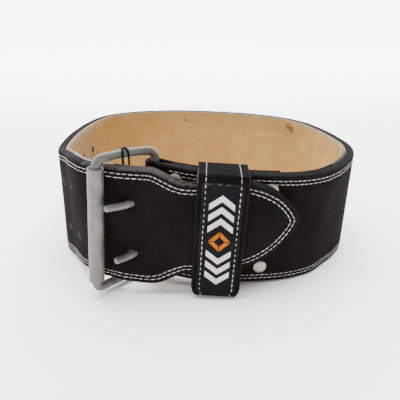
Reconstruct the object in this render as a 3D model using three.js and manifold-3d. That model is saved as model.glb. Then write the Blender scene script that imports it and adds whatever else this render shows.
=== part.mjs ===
// Weightlifting belt: a stiff leather band with a tan lining, closed in a loop by a roller buckle
// with two prongs, a leather keeper with a sewn patch, and four rivets.
// Millimetres, +Z up. The belt stands on its lower edge, the waist goes in along Z, the buckle
// faces -Y, and the origin is the middle of the footprint.

import * as THREE from "three";
import { mergeVertices } from "three/addons/utils/BufferGeometryUtils.js";
import Module from "manifold-3d";

// Loop of the strap, outer face to outer face
const LOOP_WIDTH = 287;
const LOOP_DEPTH = 248;

// Leather
const STRAP_WIDTH = 100;
const STRAP_THICKNESS = 7.5;
const LINING_THICKNESS = 2.5;
const EDGE_BEVEL = 1.5;
const LINING_BEVEL = 0.7;
const LINING_SETBACK = 1.5;
const BEVEL_SHARE = 0.4;
const FOLD_WALL = 4;
const FLAP_THICKNESS = 3.5;
const FLAP_LENGTH = 108;
const FOLD_TAPER = 14;

// Buckle end of the strap, which stands in from the loop at the bar
const BAR_INSET = 13.5;
const SETTLE_LENGTH = 78;

// Tongue
const TONGUE_WIDTH = 77.4;
const TONGUE_REACH = 122.3;
const TIP_LENGTH = 55;
const TIP_BLUNT = 0.8;
const TAPER_START = 4.5;
const TAPER_LENGTH = 31;
const CROSSOVER_LENGTH = 95;

// Prong holes
const HOLE_DIAMETER = 7;
const HOLE_SPACING = 44;
const HOLE_PITCH = 29.75;
const HOLE_COLUMNS = 8;
const HOLE_TO_BAR = 10.5;

// Buckle
const WIRE_DIAMETER = 7;
const FRAME_ROOM = 6;
const FRAME_CORNER = 6.5;
const LEG_SAG = 4;
const ROLLER_DIAMETER = 12.3;
const ROLLER_WALL = 1.4;
const ROLLER_LENGTH = 98.2;
const ROLLER_LIFT = 9;
const ROLLER_TO_BAR = 32.2;
const PRONG_DIAMETER = 5.6;
const PRONG_EYE_WIRE = 4.4;

// Keeper and patch
const KEEPER_WIDTH = 40;
const KEEPER_WALL = 2.5;
const KEEPER_CORNER = 2.5;
const KEEPER_BEVEL = 0.6;
const KEEPER_TO_BAR = 59.8;
const KEEPER_TILT = 1;
const LABEL_WIDTH = 32;
const LABEL_THICKNESS = 0.8;
const LABEL_CORNER = 3;

// Rivets
const RIVET_HEAD = 11.8;
const RIVET_DOME = 1.8;
const RIVET_SHANK = 4;
const RIVET_CAP = 9;
const RIVET_CAP_THICKNESS = 1;

// Clearances
const GAP = 0.3;
const CUT_OVERRUN = 2;
const KEEPER_CLEARANCE = 0.8;
const PRONG_CLEARANCE = 0.6;

// Faceting
const STATION_STEP = 10.9;
const TIP_STATIONS = 9;
const FOLD_STATIONS = 10;
const WIRE_SIDES = 12;
const WIRE_STEP = 11;
const CORNER_STEPS = 4;
const EYE_STEPS = 12;
const PRONG_STEPS = 7;
const PRONG_TIP_STEPS = 3;
const ROLLER_SIDES = 24;
const RIVET_SIDES = 16;
const CURVE_SAMPLES = 2000;
const CONTACT_ROUNDS = 5;
const KEEPER_SAMPLES = 16;
const WELD = 1e-4;
const DOME_STEPS = 3;
const HOLE_SIDES = 10;

// Plan of the loop, walked from the bar of the buckle over the front, one side, the back, the other
// side and round to the front again: shares of half the loop's width and depth.
const LOOP = [
  { x: -0.337, y: -0.982 },
  { x: -0.085, y: -0.998 },
  { x: 0.075, y: -0.99 },
  { x: 0.249, y: -0.975 },
  { x: 0.402, y: -0.953 },
  { x: 0.548, y: -0.913 },
  { x: 0.683, y: -0.84 },
  { x: 0.822, y: -0.677 },
  { x: 0.925, y: -0.508 },
  { x: 0.977, y: -0.371 },
  { x: 0.998, y: -0.21 },
  { x: 0.977, y: -0.008 },
  { x: 0.923, y: 0.243 },
  { x: 0.831, y: 0.502 },
  { x: 0.669, y: 0.708 },
  { x: 0.434, y: 0.855 },
  { x: 0.138, y: 0.951 },
  { x: -0.17, y: 0.996 },
  { x: -0.462, y: 0.968 },
  { x: -0.699, y: 0.871 },
  { x: -0.859, y: 0.71 },
  { x: -0.943, y: 0.444 },
  { x: -0.978, y: 0.177 },
  { x: -0.988, y: -0.081 },
  { x: -0.981, y: -0.306 },
  { x: -0.936, y: -0.48 },
  { x: -0.859, y: -0.629 },
  { x: -0.739, y: -0.828 },
  { x: -0.615, y: -0.942 },
  { x: -0.469, y: -0.977 },
];

// How far the band stands off the floor and leans along the walk, in shares of the strap's width:
// the frame of the buckle lifts both ends. Turn 0 is the bar, turn 1 the bar again under the tongue.
const STANCE = [
  { turn: 0, rise: 0.09, lean: -0.04 },
  { turn: 0.034, rise: 0.069, lean: -0.035 },
  { turn: 0.06, rise: 0.053, lean: -0.02 },
  { turn: 0.088, rise: 0.037, lean: 0 },
  { turn: 0.114, rise: 0.023, lean: 0.03 },
  { turn: 0.138, rise: 0.012, lean: 0.05 },
  { turn: 0.162, rise: 0.009, lean: 0.065 },
  { turn: 0.19, rise: 0.008, lean: 0.065 },
  { turn: 0.22, rise: 0.005, lean: 0.03 },
  { turn: 0.26, rise: 0, lean: 0 },
  { turn: 0.5, rise: 0, lean: 0 },
  { turn: 0.8, rise: 0, lean: 0 },
  { turn: 0.849, rise: 0.01, lean: -0.03 },
  { turn: 0.874, rise: 0.035, lean: -0.022 },
  { turn: 0.907, rise: 0.077, lean: -0.004 },
  { turn: 0.93, rise: 0.113, lean: 0.013 },
  { turn: 0.949, rise: 0.126, lean: 0.018 },
  { turn: 0.966, rise: 0.132, lean: 0.014 },
  { turn: 0.985, rise: 0.123, lean: -0.002 },
  { turn: 1.01, rise: 0.113, lean: -0.02 },
  { turn: 1.034, rise: 0.116, lean: -0.022 },
  { turn: 1.06, rise: 0.12, lean: -0.006 },
  { turn: 1.088, rise: 0.146, lean: 0.018 },
  { turn: 1.114, rise: 0.1655, lean: 0.04 },
  { turn: 1.145, rise: 0.177, lean: 0.065 },
];

// Prongs: which side of the middle, how far each one's hole lies from the first column, the angle in
// degrees to the tongue and the length past the hole
const PRONGS = [
  { name: "prong_upper", side: 1, shift: -0.5, angle: 43, reach: 21.2 },
  { name: "prong_lower", side: -1, shift: 2.8, angle: 51, reach: 18.7 },
];

// Rivets: distance from the bar, and height above the middle of the strap as a share of its width
const RIVETS = [
  { name: "rivet_1", along: 21, up: 0.39 },
  { name: "rivet_2", along: 21, up: -0.35 },
  { name: "rivet_3", along: 98.5, up: 0.38 },
  { name: "rivet_4", along: 98, up: -0.34 },
];

const wasm = await Module();
wasm.setup();

const UP = new THREE.Vector3(0, 0, 1);
const LATHE_AXIS = new THREE.Vector3(0, 1, 0);

function smooth(share) {
  const s = THREE.MathUtils.clamp(share, 0, 1);
  return s * s * (3 - 2 * s);
}

function mix(from, to, share) {
  return from + (to - from) * share;
}

// Slope of the stance at one of its rows: level at a peak or a flat, so that the curve never overshoots
function slopeAt(i, column) {
  const here = STANCE[i];
  const before = STANCE[Math.max(i - 1, 0)];
  const after = STANCE[Math.min(i + 1, STANCE.length - 1)];
  const inside = before !== here && after !== here;
  const turns = (after[column] - here[column]) * (here[column] - before[column]) <= 0;
  if (inside && turns) return 0;
  return (after[column] - before[column]) / (after.turn - before.turn);
}

// Value of one column of the stance at a turn, on a smooth curve through the rows
function stanceAt(turn, column) {
  let i = 0;
  while (i < STANCE.length - 2 && STANCE[i + 1].turn < turn) i += 1;
  const low = STANCE[i];
  const high = STANCE[i + 1];
  const span = high.turn - low.turn;
  const share = THREE.MathUtils.clamp((turn - low.turn) / span, 0, 1);
  const square = share * share;
  const cube = square * share;
  return (2 * cube - 3 * square + 1) * low[column]
    + (cube - 2 * square + share) * span * slopeAt(i, column)
    + (3 * square - 2 * cube) * high[column]
    + (cube - square) * span * slopeAt(i + 1, column);
}

// Closed mesh through rings of points, which is an endless band if closed and is capped if not
function loft(rings, closed = false) {
  const count = rings[0].length;
  const positions = rings.flat().flatMap((p) => [p.x, p.y, p.z]);
  const index = [];
  const spans = closed ? rings.length : rings.length - 1;
  for (let i = 0; i < spans; i += 1) {
    const here = i * count;
    const next = ((i + 1) % rings.length) * count;
    for (let j = 0; j < count; j += 1) {
      const k = (j + 1) % count;
      index.push(here + j, next + j, next + k);
      index.push(here + j, next + k, here + k);
    }
  }
  if (!closed) {
    const end = (rings.length - 1) * count;
    for (let j = 1; j < count - 1; j += 1) {
      index.push(0, j, j + 1);
      index.push(end, end + j + 1, end + j);
    }
  }
  const geometry = new THREE.BufferGeometry();
  geometry.setAttribute("position", new THREE.Float32BufferAttribute(positions, 3));
  geometry.setIndex(index);
  return facingOut(geometry);
}

function facingOut(geometry) {
  const positions = geometry.attributes.position;
  const index = geometry.index.array;
  const corner = (i) => new THREE.Vector3().fromBufferAttribute(positions, index[i]);
  let volume = 0;
  for (let i = 0; i < index.length; i += 3) {
    volume += corner(i).dot(corner(i + 1).cross(corner(i + 2)));
  }
  if (volume < 0) {
    for (let i = 0; i < index.length; i += 3) [index[i], index[i + 1]] = [index[i + 1], index[i]];
  }
  return geometry;
}

function manifoldOf(geometry) {
  const bare = geometry.clone();
  bare.deleteAttribute("normal");
  bare.deleteAttribute("uv");
  const merged = mergeVertices(bare, WELD);
  return new wasm.Manifold(new wasm.Mesh({
    numProp: 3,
    vertProperties: Float32Array.from(merged.attributes.position.array),
    triVerts: Uint32Array.from(merged.index.array),
  }));
}

function geometryOf(manifold) {
  const mesh = manifold.getMesh();
  const geometry = new THREE.BufferGeometry();
  geometry.setAttribute("position", new THREE.BufferAttribute(mesh.vertProperties, 3));
  geometry.setIndex(new THREE.BufferAttribute(mesh.triVerts, 1));
  return geometry;
}

function cut(geometry, cutters) {
  const solid = cutters.reduce((rest, cutter) => rest.subtract(manifoldOf(cutter)), manifoldOf(geometry));
  return geometryOf(solid);
}

function join(geometries) {
  return geometryOf(geometries.map(manifoldOf).reduce((solid, piece) => solid.add(piece)));
}

// The walk of the strap, measured along the loop from the bar: past one turn it is the tongue,
// which lies outside the buckle end.
const loopPoints = LOOP.map((row) => (
  new THREE.Vector3(row.x * LOOP_WIDTH / 2, row.y * LOOP_DEPTH / 2, 0)));
const loopCurve = new THREE.CatmullRomCurve3(loopPoints, true, "centripetal");
loopCurve.arcLengthDivisions = CURVE_SAMPLES;
const loopLength = loopCurve.getLength();
const walkLength = loopLength + TONGUE_REACH;
const bandThickness = STRAP_THICKNESS + GAP + LINING_THICKNESS;
const tongueStep = bandThickness + RIVET_DOME + 2 * GAP;

function standOff(along) {
  if (along < SETTLE_LENGTH) return -BAR_INSET * (1 - along / SETTLE_LENGTH) ** 2;
  const toBar = loopLength - along;
  return tongueStep * smooth(1 - toBar / CROSSOVER_LENGTH);
}

function skinPoint(along) {
  const turn = along / loopLength;
  const point = loopCurve.getPointAt(turn % 1);
  const tangent = loopCurve.getTangentAt(turn % 1);
  const level = new THREE.Vector3().crossVectors(tangent, UP).normalize();
  point.addScaledVector(level, standOff(along));
  point.z = STRAP_WIDTH * (0.5 + stanceAt(turn, "rise"));
  return point;
}

// Directions at a place of the walk: tangent along it, rise up the band, normal out of its skin
function bandFrame(along) {
  const low = Math.max(along - 1, 0);
  const high = Math.min(along + 1, walkLength);
  const point = skinPoint(along);
  const tangent = skinPoint(high).sub(skinPoint(low)).normalize();
  const lean = stanceAt(along / loopLength, "lean");
  const level = new THREE.Vector3().crossVectors(tangent, UP).normalize();
  const rise = new THREE.Vector3().crossVectors(level, tangent).addScaledVector(level, lean).normalize();
  const normal = new THREE.Vector3().crossVectors(tangent, rise).normalize();
  return { point, tangent, rise, normal };
}

function place(frame, inward, up) {
  return frame.point.clone().addScaledVector(frame.normal, -inward).addScaledVector(frame.rise, up);
}

// Half the width of the band: the full strap, the narrower tongue and the two arcs of its tip
const tipRadius = (TIP_LENGTH ** 2 + (TONGUE_WIDTH / 2) ** 2) / TONGUE_WIDTH;
const tipStart = walkLength - TIP_LENGTH;

function halfWidth(along) {
  const taper = smooth((along - loopLength - TAPER_START) / TAPER_LENGTH);
  const side = mix(STRAP_WIDTH, TONGUE_WIDTH, taper) / 2;
  const inside = Math.max(TIP_LENGTH - (walkLength - along), 0);
  return side - tipRadius + Math.sqrt(tipRadius ** 2 - inside ** 2);
}

// Cross-section of a layer of the band between two depths below the skin, with bevelled edges
function section(frame, from, to, half, bevel) {
  const size = Math.min(bevel, half / 2, Math.abs(to - from) * BEVEL_SHARE);
  const inset = size * Math.sign(to - from);
  return [
    place(frame, from, size - half),
    place(frame, from, half - size),
    place(frame, from + inset, half),
    place(frame, to - inset, half),
    place(frame, to, half - size),
    place(frame, to, size - half),
    place(frame, to - inset, -half),
    place(frame, from + inset, -half),
  ];
}

// Places along the walk for the sections of a layer: the same ones between the ends of every layer
function stationsBetween(start, end) {
  const step = tipStart / Math.ceil(tipStart / STATION_STEP);
  const list = [start];
  for (let along = step; along < end; along += step) {
    if (along > start) list.push(along);
  }
  return list;
}

function stationsToTip(start, setback) {
  const list = stationsBetween(start, tipStart - STATION_STEP / 2);
  for (let i = 0; i <= TIP_STATIONS; i += 1) {
    const share = Math.sin((Math.PI / 2) * (i / TIP_STATIONS));
    list.push(mix(tipStart, walkLength - setback, share));
  }
  return list;
}

const barFrame = bandFrame(0);
const wireRadius = WIRE_DIAMETER / 2;
const foldRadius = wireRadius + GAP + FOLD_WALL;
const flapSkin = bandThickness + GAP + FLAP_THICKNESS;
const barPoint = place(barFrame, foldRadius, 0);
const barAxis = barFrame.rise;

function nearBar(atBar, beyond, along) {
  return mix(atBar, beyond, smooth(along / FOLD_TAPER));
}

function foldFrame(angle) {
  const normal = barFrame.normal.clone().applyAxisAngle(barAxis, angle);
  const point = barPoint.clone().addScaledVector(normal, foldRadius);
  return { point, normal, rise: barAxis };
}

// The black leather: from the tip round the loop to the bar, round the bar, and back as the flap
function strapBody() {
  const rings = stationsToTip(0, TIP_BLUNT).reverse().map((along) => {
    const wall = nearBar(FOLD_WALL, STRAP_THICKNESS, along);
    return section(bandFrame(along), 0, wall, halfWidth(along), EDGE_BEVEL);
  });
  for (let i = 1; i < FOLD_STATIONS; i += 1) {
    const frame = foldFrame(-Math.PI * (i / FOLD_STATIONS));
    rings.push(section(frame, 0, FOLD_WALL, STRAP_WIDTH / 2, EDGE_BEVEL));
  }
  for (const along of [...stationsBetween(0, FLAP_LENGTH), FLAP_LENGTH]) {
    const skin = nearBar(2 * foldRadius, flapSkin, along);
    const wall = nearBar(FOLD_WALL, FLAP_THICKNESS, along);
    rings.push(section(bandFrame(along), skin, skin - wall, STRAP_WIDTH / 2, EDGE_BEVEL));
  }
  return loft(rings);
}

function liningBody() {
  const skin = STRAP_THICKNESS + GAP;
  const back = skin + LINING_THICKNESS;
  return loft(stationsToTip(FOLD_TAPER + LINING_SETBACK, LINING_SETBACK).map((along) => (
    section(bandFrame(along), skin, back, halfWidth(along), LINING_BEVEL))));
}

// Round rod of one radius, or of one radius for each point, along points with a steady side direction
function rod(points, sideAt, radii, closed) {
  const rings = points.map((point, i) => {
    const before = points[closed ? (i + points.length - 1) % points.length : Math.max(i - 1, 0)];
    const after = points[closed ? (i + 1) % points.length : Math.min(i + 1, points.length - 1)];
    const tangent = after.clone().sub(before).normalize();
    const side = sideAt(i);
    const other = new THREE.Vector3().crossVectors(tangent, side).normalize();
    const radius = Array.isArray(radii) ? radii[i] : radii;
    return Array.from({ length: WIRE_SIDES }, (_, j) => {
      const angle = (2 * Math.PI * j) / WIRE_SIDES;
      return point.clone()
        .addScaledVector(side, radius * Math.cos(angle))
        .addScaledVector(other, radius * Math.sin(angle));
    });
  });
  return loft(rings, closed);
}

function cylinderBetween(start, end, radius, sides) {
  const axis = end.clone().sub(start);
  const geometry = new THREE.CylinderGeometry(radius, radius, axis.length(), sides);
  geometry.applyQuaternion(new THREE.Quaternion().setFromUnitVectors(LATHE_AXIS, axis.normalize()));
  const middle = start.clone().add(end).multiplyScalar(0.5);
  geometry.translate(middle.x, middle.y, middle.z);
  return geometry;
}

// The buckle: the bar lies in the fold, and the roller as close to the tongue's skin as it can
const frameHalf = (STRAP_WIDTH + FRAME_ROOM) / 2 + wireRadius;
const frameMiddle = frameHalf + (GAP + wireRadius - barPoint.z) / barAxis.z;
const rollerRadius = ROLLER_DIAMETER / 2;
const rollerPoint = rollerAxisPoint();
const legCurve = legPlan();

function rollerAxisPoint() {
  const along = loopLength - ROLLER_TO_BAR;
  const home = bandFrame(along);
  const point = place(home, -rollerRadius - GAP, 0);
  const samples = [];
  for (let step = -rollerRadius; step <= rollerRadius; step += 1) {
    const frame = bandFrame(along + step);
    for (const side of [-1, 0, 1]) samples.push(place(frame, 0, side * halfWidth(along)));
  }
  const line = new THREE.Line3();
  for (let round = 0; round < CONTACT_ROUNDS; round += 1) {
    line.start.copy(point).addScaledVector(barAxis, -STRAP_WIDTH);
    line.end.copy(point).addScaledVector(barAxis, STRAP_WIDTH);
    const closest = Math.min(...samples.map((sample) => (
      line.closestPointToPoint(sample, true, new THREE.Vector3()).distanceTo(sample))));
    point.addScaledVector(home.normal, Math.max(rollerRadius + GAP - closest, 0));
  }
  const off = point.clone().sub(barPoint).dot(barAxis);
  return point.addScaledVector(barAxis, -off);
}

function legPlan() {
  const middle = barPoint.clone().add(rollerPoint).multiplyScalar(0.5);
  const across = rollerPoint.clone().sub(barPoint).cross(barAxis).normalize();
  middle.addScaledVector(across, 2 * LEG_SAG);
  return new THREE.QuadraticBezierCurve3(barPoint, middle, rollerPoint);
}

// The wire of the frame: a rectangle with round corners, laid on the surface of its bent legs
function frameBody() {
  const legLength = legCurve.getLength();
  const corners = [
    { x: FRAME_CORNER, y: FRAME_CORNER - frameHalf, start: Math.PI },
    { x: legLength - FRAME_CORNER, y: FRAME_CORNER - frameHalf, start: 1.5 * Math.PI },
    { x: legLength - FRAME_CORNER, y: frameHalf - FRAME_CORNER, start: 0 },
    { x: FRAME_CORNER, y: frameHalf - FRAME_CORNER, start: 0.5 * Math.PI },
  ];
  const outline = new THREE.Path();
  for (const corner of corners) {
    outline.absarc(corner.x, corner.y, FRAME_CORNER, corner.start, corner.start + Math.PI / 2, false);
  }
  outline.closePath();
  const flat = outline.curves.flatMap((curve) => {
    const round = curve.isEllipseCurve;
    const count = round ? CORNER_STEPS : Math.max(Math.ceil(curve.getLength() / WIRE_STEP), 1);
    return Array.from({ length: count }, (_, i) => curve.getPoint(i / count));
  });
  const share = (spot) => THREE.MathUtils.clamp(spot.x / legLength, 0, 1);
  const points = flat.map((spot) => (
    legCurve.getPointAt(share(spot)).addScaledVector(barAxis, frameMiddle + spot.y)));
  const sideAt = (i) => (
    new THREE.Vector3().crossVectors(legCurve.getTangentAt(share(flat[i])), barAxis).normalize());
  return rod(points, sideAt, wireRadius, true);
}

function rollerMesh() {
  const inner = rollerRadius - ROLLER_WALL;
  const half = ROLLER_LENGTH / 2;
  const chamfer = ROLLER_WALL / 4;
  const profile = [
    new THREE.Vector2(inner, -half),
    new THREE.Vector2(rollerRadius - chamfer, -half),
    new THREE.Vector2(rollerRadius, chamfer - half),
    new THREE.Vector2(rollerRadius, half - chamfer),
    new THREE.Vector2(rollerRadius - chamfer, half),
    new THREE.Vector2(inner, half),
    new THREE.Vector2(inner, -half),
  ];
  const mesh = new THREE.Mesh(geometryOf(manifoldOf(new THREE.LatheGeometry(profile, ROLLER_SIDES))));
  const lift = frameMiddle - frameHalf + ROLLER_LIFT + half;
  mesh.position.copy(rollerPoint).addScaledVector(barAxis, lift);
  mesh.quaternion.setFromUnitVectors(LATHE_AXIS, barAxis);
  return mesh;
}

// Prongs: an eye round the bar and a rod through the first column of holes to beside the roller
const prongRadius = PRONG_DIAMETER / 2;
const eyeRadius = wireRadius + GAP + PRONG_EYE_WIRE / 2;

function prongPath(prong) {
  const exitFrame = bandFrame(loopLength - HOLE_TO_BAR + prong.shift);
  const exit = place(exitFrame, 0, prong.side * HOLE_SPACING / 2);
  const height = exit.clone().sub(barPoint).dot(barAxis);
  const start = barPoint.clone().addScaledVector(barAxis, height);
  const along = exitFrame.tangent.clone().addScaledVector(barAxis, -exitFrame.tangent.dot(barAxis));
  const out = new THREE.Vector3().crossVectors(along, barAxis).normalize();
  const angle = THREE.MathUtils.degToRad(prong.angle);
  const end = exit.clone()
    .addScaledVector(along.normalize(), -prong.reach * Math.cos(angle))
    .addScaledVector(out, prong.reach * Math.sin(angle));
  const curve = new THREE.CatmullRomCurve3([start, exit, end], false, "centripetal");
  return { start, height, curve };
}

function prongRod(prong, grow) {
  const { curve } = prongPath(prong);
  const length = curve.getLength();
  const first = eyeRadius / length;
  const round = prongRadius / length;
  const shares = [];
  for (let i = 0; i < PRONG_STEPS; i += 1) shares.push(mix(first, 1 - round, i / PRONG_STEPS));
  const body = shares.length;
  for (let i = 0; i <= PRONG_TIP_STEPS; i += 1) {
    shares.push(1 - round + round * Math.sin((Math.PI / 2) * (i / (PRONG_TIP_STEPS + 1))));
  }
  const radii = shares.map((share, i) => (
    grow + prongRadius * Math.cos((Math.PI / 2) * (Math.max(i - body, 0) / (PRONG_TIP_STEPS + 1)))));
  return rod(shares.map((share) => curve.getPointAt(share)), () => barAxis, radii, false);
}

function prongBody(prong) {
  const { start } = prongPath(prong);
  const out = barFrame.normal;
  const across = new THREE.Vector3().crossVectors(barAxis, out);
  const ring = Array.from({ length: EYE_STEPS }, (_, i) => {
    const angle = (2 * Math.PI * i) / EYE_STEPS;
    return start.clone()
      .addScaledVector(out, eyeRadius * Math.cos(angle))
      .addScaledVector(across, eyeRadius * Math.sin(angle));
  });
  return join([rod(ring, () => barAxis, PRONG_EYE_WIRE / 2, true), prongRod(prong, 0)]);
}

// Openings in the leather: the slots of the fold for the eyes, the holes and the rivet bores
function foldSlots() {
  const radius = eyeRadius + PRONG_EYE_WIRE / 2 + PRONG_CLEARANCE;
  const half = prongRadius + PRONG_CLEARANCE;
  return PRONGS.map((prong) => {
    const { start } = prongPath(prong);
    const low = start.clone().addScaledVector(barAxis, -half);
    const high = start.clone().addScaledVector(barAxis, half);
    return cylinderBetween(low, high, radius, EYE_STEPS);
  });
}

function throughBand(along, up, radius, depth) {
  const frame = bandFrame(along);
  const start = place(frame, -CUT_OVERRUN, up);
  const end = place(frame, depth + CUT_OVERRUN, up);
  return cylinderBetween(start, end, radius, HOLE_SIDES);
}

function prongHoles() {
  const cutters = PRONGS.map((prong) => prongRod(prong, PRONG_CLEARANCE));
  for (let column = 0; column < HOLE_COLUMNS; column += 1) {
    const along = loopLength - HOLE_TO_BAR - column * HOLE_PITCH;
    for (const side of [-1, 1]) {
      const up = side * HOLE_SPACING / 2;
      cutters.push(throughBand(along, up, HOLE_DIAMETER / 2, bandThickness));
    }
  }
  return cutters;
}

function rivetBores() {
  return RIVETS.map((rivet) => (
    throughBand(rivet.along, rivet.up * STRAP_WIDTH, RIVET_SHANK / 2 + GAP, flapSkin)));
}

function rivetMesh(rivet) {
  const head = RIVET_HEAD / 2;
  const shank = RIVET_SHANK / 2;
  const profile = [];
  for (let i = 0; i <= DOME_STEPS; i += 1) {
    const angle = (Math.PI / 2) * (i / DOME_STEPS);
    profile.push(new THREE.Vector2(head * Math.sin(angle), GAP + RIVET_DOME * Math.cos(angle)));
  }
  const inside = -flapSkin - GAP;
  profile.push(new THREE.Vector2(shank, GAP));
  profile.push(new THREE.Vector2(shank, inside));
  profile.push(new THREE.Vector2(RIVET_CAP / 2, inside));
  profile.push(new THREE.Vector2(RIVET_CAP / 2, inside - RIVET_CAP_THICKNESS));
  profile.push(new THREE.Vector2(0, inside - RIVET_CAP_THICKNESS));
  const frame = bandFrame(rivet.along);
  const lathe = new THREE.LatheGeometry(profile.reverse(), RIVET_SIDES);
  const mesh = new THREE.Mesh(geometryOf(manifoldOf(lathe)));
  mesh.position.copy(place(frame, 0, rivet.up * STRAP_WIDTH));
  mesh.quaternion.setFromUnitVectors(LATHE_AXIS, frame.normal);
  return mesh;
}

// The keeper: a closed band round both layers, in the directions of the buckle end
const keeperFrame = tilted(bandFrame(KEEPER_TO_BAR), KEEPER_TILT);
const keeperRoom = keeperHollow();

// The frame turned in its own plane, with the upper end towards the buckle
function tilted(frame, degrees) {
  const angle = THREE.MathUtils.degToRad(degrees);
  const tangent = frame.tangent.clone().applyAxisAngle(frame.normal, angle);
  const rise = frame.rise.clone().applyAxisAngle(frame.normal, angle);
  return { ...frame, tangent, rise };
}

// Room that the two layers and the flap take, seen along the keeper
function keeperHollow() {
  const { point, normal, rise } = keeperFrame;
  const content = [];
  for (let step = -KEEPER_WIDTH / 2; step <= KEEPER_WIDTH / 2; step += KEEPER_WIDTH / KEEPER_SAMPLES) {
    const under = bandFrame(KEEPER_TO_BAR + step);
    const over = bandFrame(loopLength + KEEPER_TO_BAR + step);
    for (const side of [-1, 1]) {
      content.push(place(under, 0, side * STRAP_WIDTH / 2), place(under, flapSkin, side * STRAP_WIDTH / 2));
      content.push(place(over, 0, side * halfWidth(loopLength + KEEPER_TO_BAR + step)));
    }
  }
  const outs = content.map((spot) => spot.clone().sub(point).dot(normal));
  const ups = content.map((spot) => spot.clone().sub(point).dot(rise));
  return {
    front: Math.max(...outs) + KEEPER_CLEARANCE,
    back: Math.min(...outs) - KEEPER_CLEARANCE,
    top: Math.max(...ups) + KEEPER_CLEARANCE,
    bottom: Math.min(...ups) - KEEPER_CLEARANCE,
  };
}

function keeperBody() {
  const { point, tangent, normal, rise } = keeperFrame;
  const { front, back, top, bottom } = keeperRoom;
  const corners = [
    { out: front - KEEPER_CORNER, up: top - KEEPER_CORNER, start: 0 },
    { out: back + KEEPER_CORNER, up: top - KEEPER_CORNER, start: 1 },
    { out: back + KEEPER_CORNER, up: bottom + KEEPER_CORNER, start: 2 },
    { out: front - KEEPER_CORNER, up: bottom + KEEPER_CORNER, start: 3 },
  ];
  const wall = [
    { side: -KEEPER_WIDTH / 2, depth: KEEPER_BEVEL },
    { side: -KEEPER_WIDTH / 2, depth: KEEPER_WALL - KEEPER_BEVEL },
    { side: KEEPER_BEVEL - KEEPER_WIDTH / 2, depth: KEEPER_WALL },
    { side: KEEPER_WIDTH / 2 - KEEPER_BEVEL, depth: KEEPER_WALL },
    { side: KEEPER_WIDTH / 2, depth: KEEPER_WALL - KEEPER_BEVEL },
    { side: KEEPER_WIDTH / 2, depth: KEEPER_BEVEL },
    { side: KEEPER_WIDTH / 2 - KEEPER_BEVEL, depth: 0 },
    { side: KEEPER_BEVEL - KEEPER_WIDTH / 2, depth: 0 },
  ];
  const rings = corners.flatMap((corner) => Array.from({ length: CORNER_STEPS + 1 }, (_, i) => {
    const angle = (Math.PI / 2) * (corner.start + i / CORNER_STEPS);
    return wall.map((spot) => point.clone()
      .addScaledVector(tangent, spot.side)
      .addScaledVector(normal, corner.out + (KEEPER_CORNER + spot.depth) * Math.cos(angle))
      .addScaledVector(rise, corner.up + (KEEPER_CORNER + spot.depth) * Math.sin(angle)));
  }));
  return loft(rings, true);
}

function labelMesh() {
  const { front, top, bottom } = keeperRoom;
  const height = top - bottom - 2 * KEEPER_CORNER;
  const x = LABEL_WIDTH / 2;
  const y = height / 2;
  const outline = new THREE.Shape();
  outline.absarc(x - LABEL_CORNER, y - LABEL_CORNER, LABEL_CORNER, 0, Math.PI / 2, false);
  outline.absarc(LABEL_CORNER - x, y - LABEL_CORNER, LABEL_CORNER, Math.PI / 2, Math.PI, false);
  outline.absarc(LABEL_CORNER - x, LABEL_CORNER - y, LABEL_CORNER, Math.PI, 1.5 * Math.PI, false);
  outline.absarc(x - LABEL_CORNER, LABEL_CORNER - y, LABEL_CORNER, 1.5 * Math.PI, 2 * Math.PI, false);
  const shape = { depth: LABEL_THICKNESS, bevelEnabled: false, curveSegments: CORNER_STEPS };
  const mesh = new THREE.Mesh(geometryOf(manifoldOf(new THREE.ExtrudeGeometry(outline, shape))));
  const { point, tangent, normal, rise } = keeperFrame;
  mesh.position.copy(point)
    .addScaledVector(normal, front + KEEPER_WALL + GAP)
    .addScaledVector(rise, (top + bottom) / 2);
  mesh.quaternion.setFromRotationMatrix(new THREE.Matrix4().makeBasis(tangent, rise, normal));
  return mesh;
}

function finish(color, roughness, metalness) {
  return new THREE.MeshStandardMaterial({ color, roughness, metalness });
}

const suede = finish(0x1f1e1e, 0.9, 0);
const tanLeather = finish(0xbe9669, 0.65, 0);
const steel = finish(0xa2a49f, 0.45, 0.9);
const patch = finish(0x16171a, 0.6, 0);
const rivetMetal = finish(0xcfcac2, 0.4, 0.6);

const belt = new THREE.Group();

function add(name, mesh, material) {
  mesh.name = name;
  mesh.material = material;
  belt.add(mesh);
}

const leatherCuts = [...prongHoles(), ...rivetBores()];
add("strap", new THREE.Mesh(cut(strapBody(), [...leatherCuts, ...foldSlots()])), suede);
add("lining", new THREE.Mesh(cut(liningBody(), leatherCuts)), tanLeather);
add("buckle_frame", new THREE.Mesh(frameBody()), steel);
add("roller", rollerMesh(), steel);
for (const prong of PRONGS) add(prong.name, new THREE.Mesh(prongBody(prong)), steel);
add("keeper_loop", new THREE.Mesh(keeperBody()), suede);
add("keeper_label", labelMesh(), patch);
for (const rivet of RIVETS) add(rivet.name, rivetMesh(rivet), rivetMetal);

// The footprint's middle becomes the origin, and the lowest point the floor
belt.updateMatrixWorld(true);
const box = new THREE.Box3().setFromObject(belt, true);
const middle = box.getCenter(new THREE.Vector3());
belt.position.set(-middle.x, -middle.y, -box.min.z);

export default belt;
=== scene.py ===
# Looks of a weightlifting belt: black suede with sewn edges, tan lining, grey steel roller buckle,
# leather keeper with a sewn patch. Metres, +Z up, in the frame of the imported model.

import math
from collections import namedtuple

import bpy
import numpy as np
from mathutils import Matrix, Vector


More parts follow.
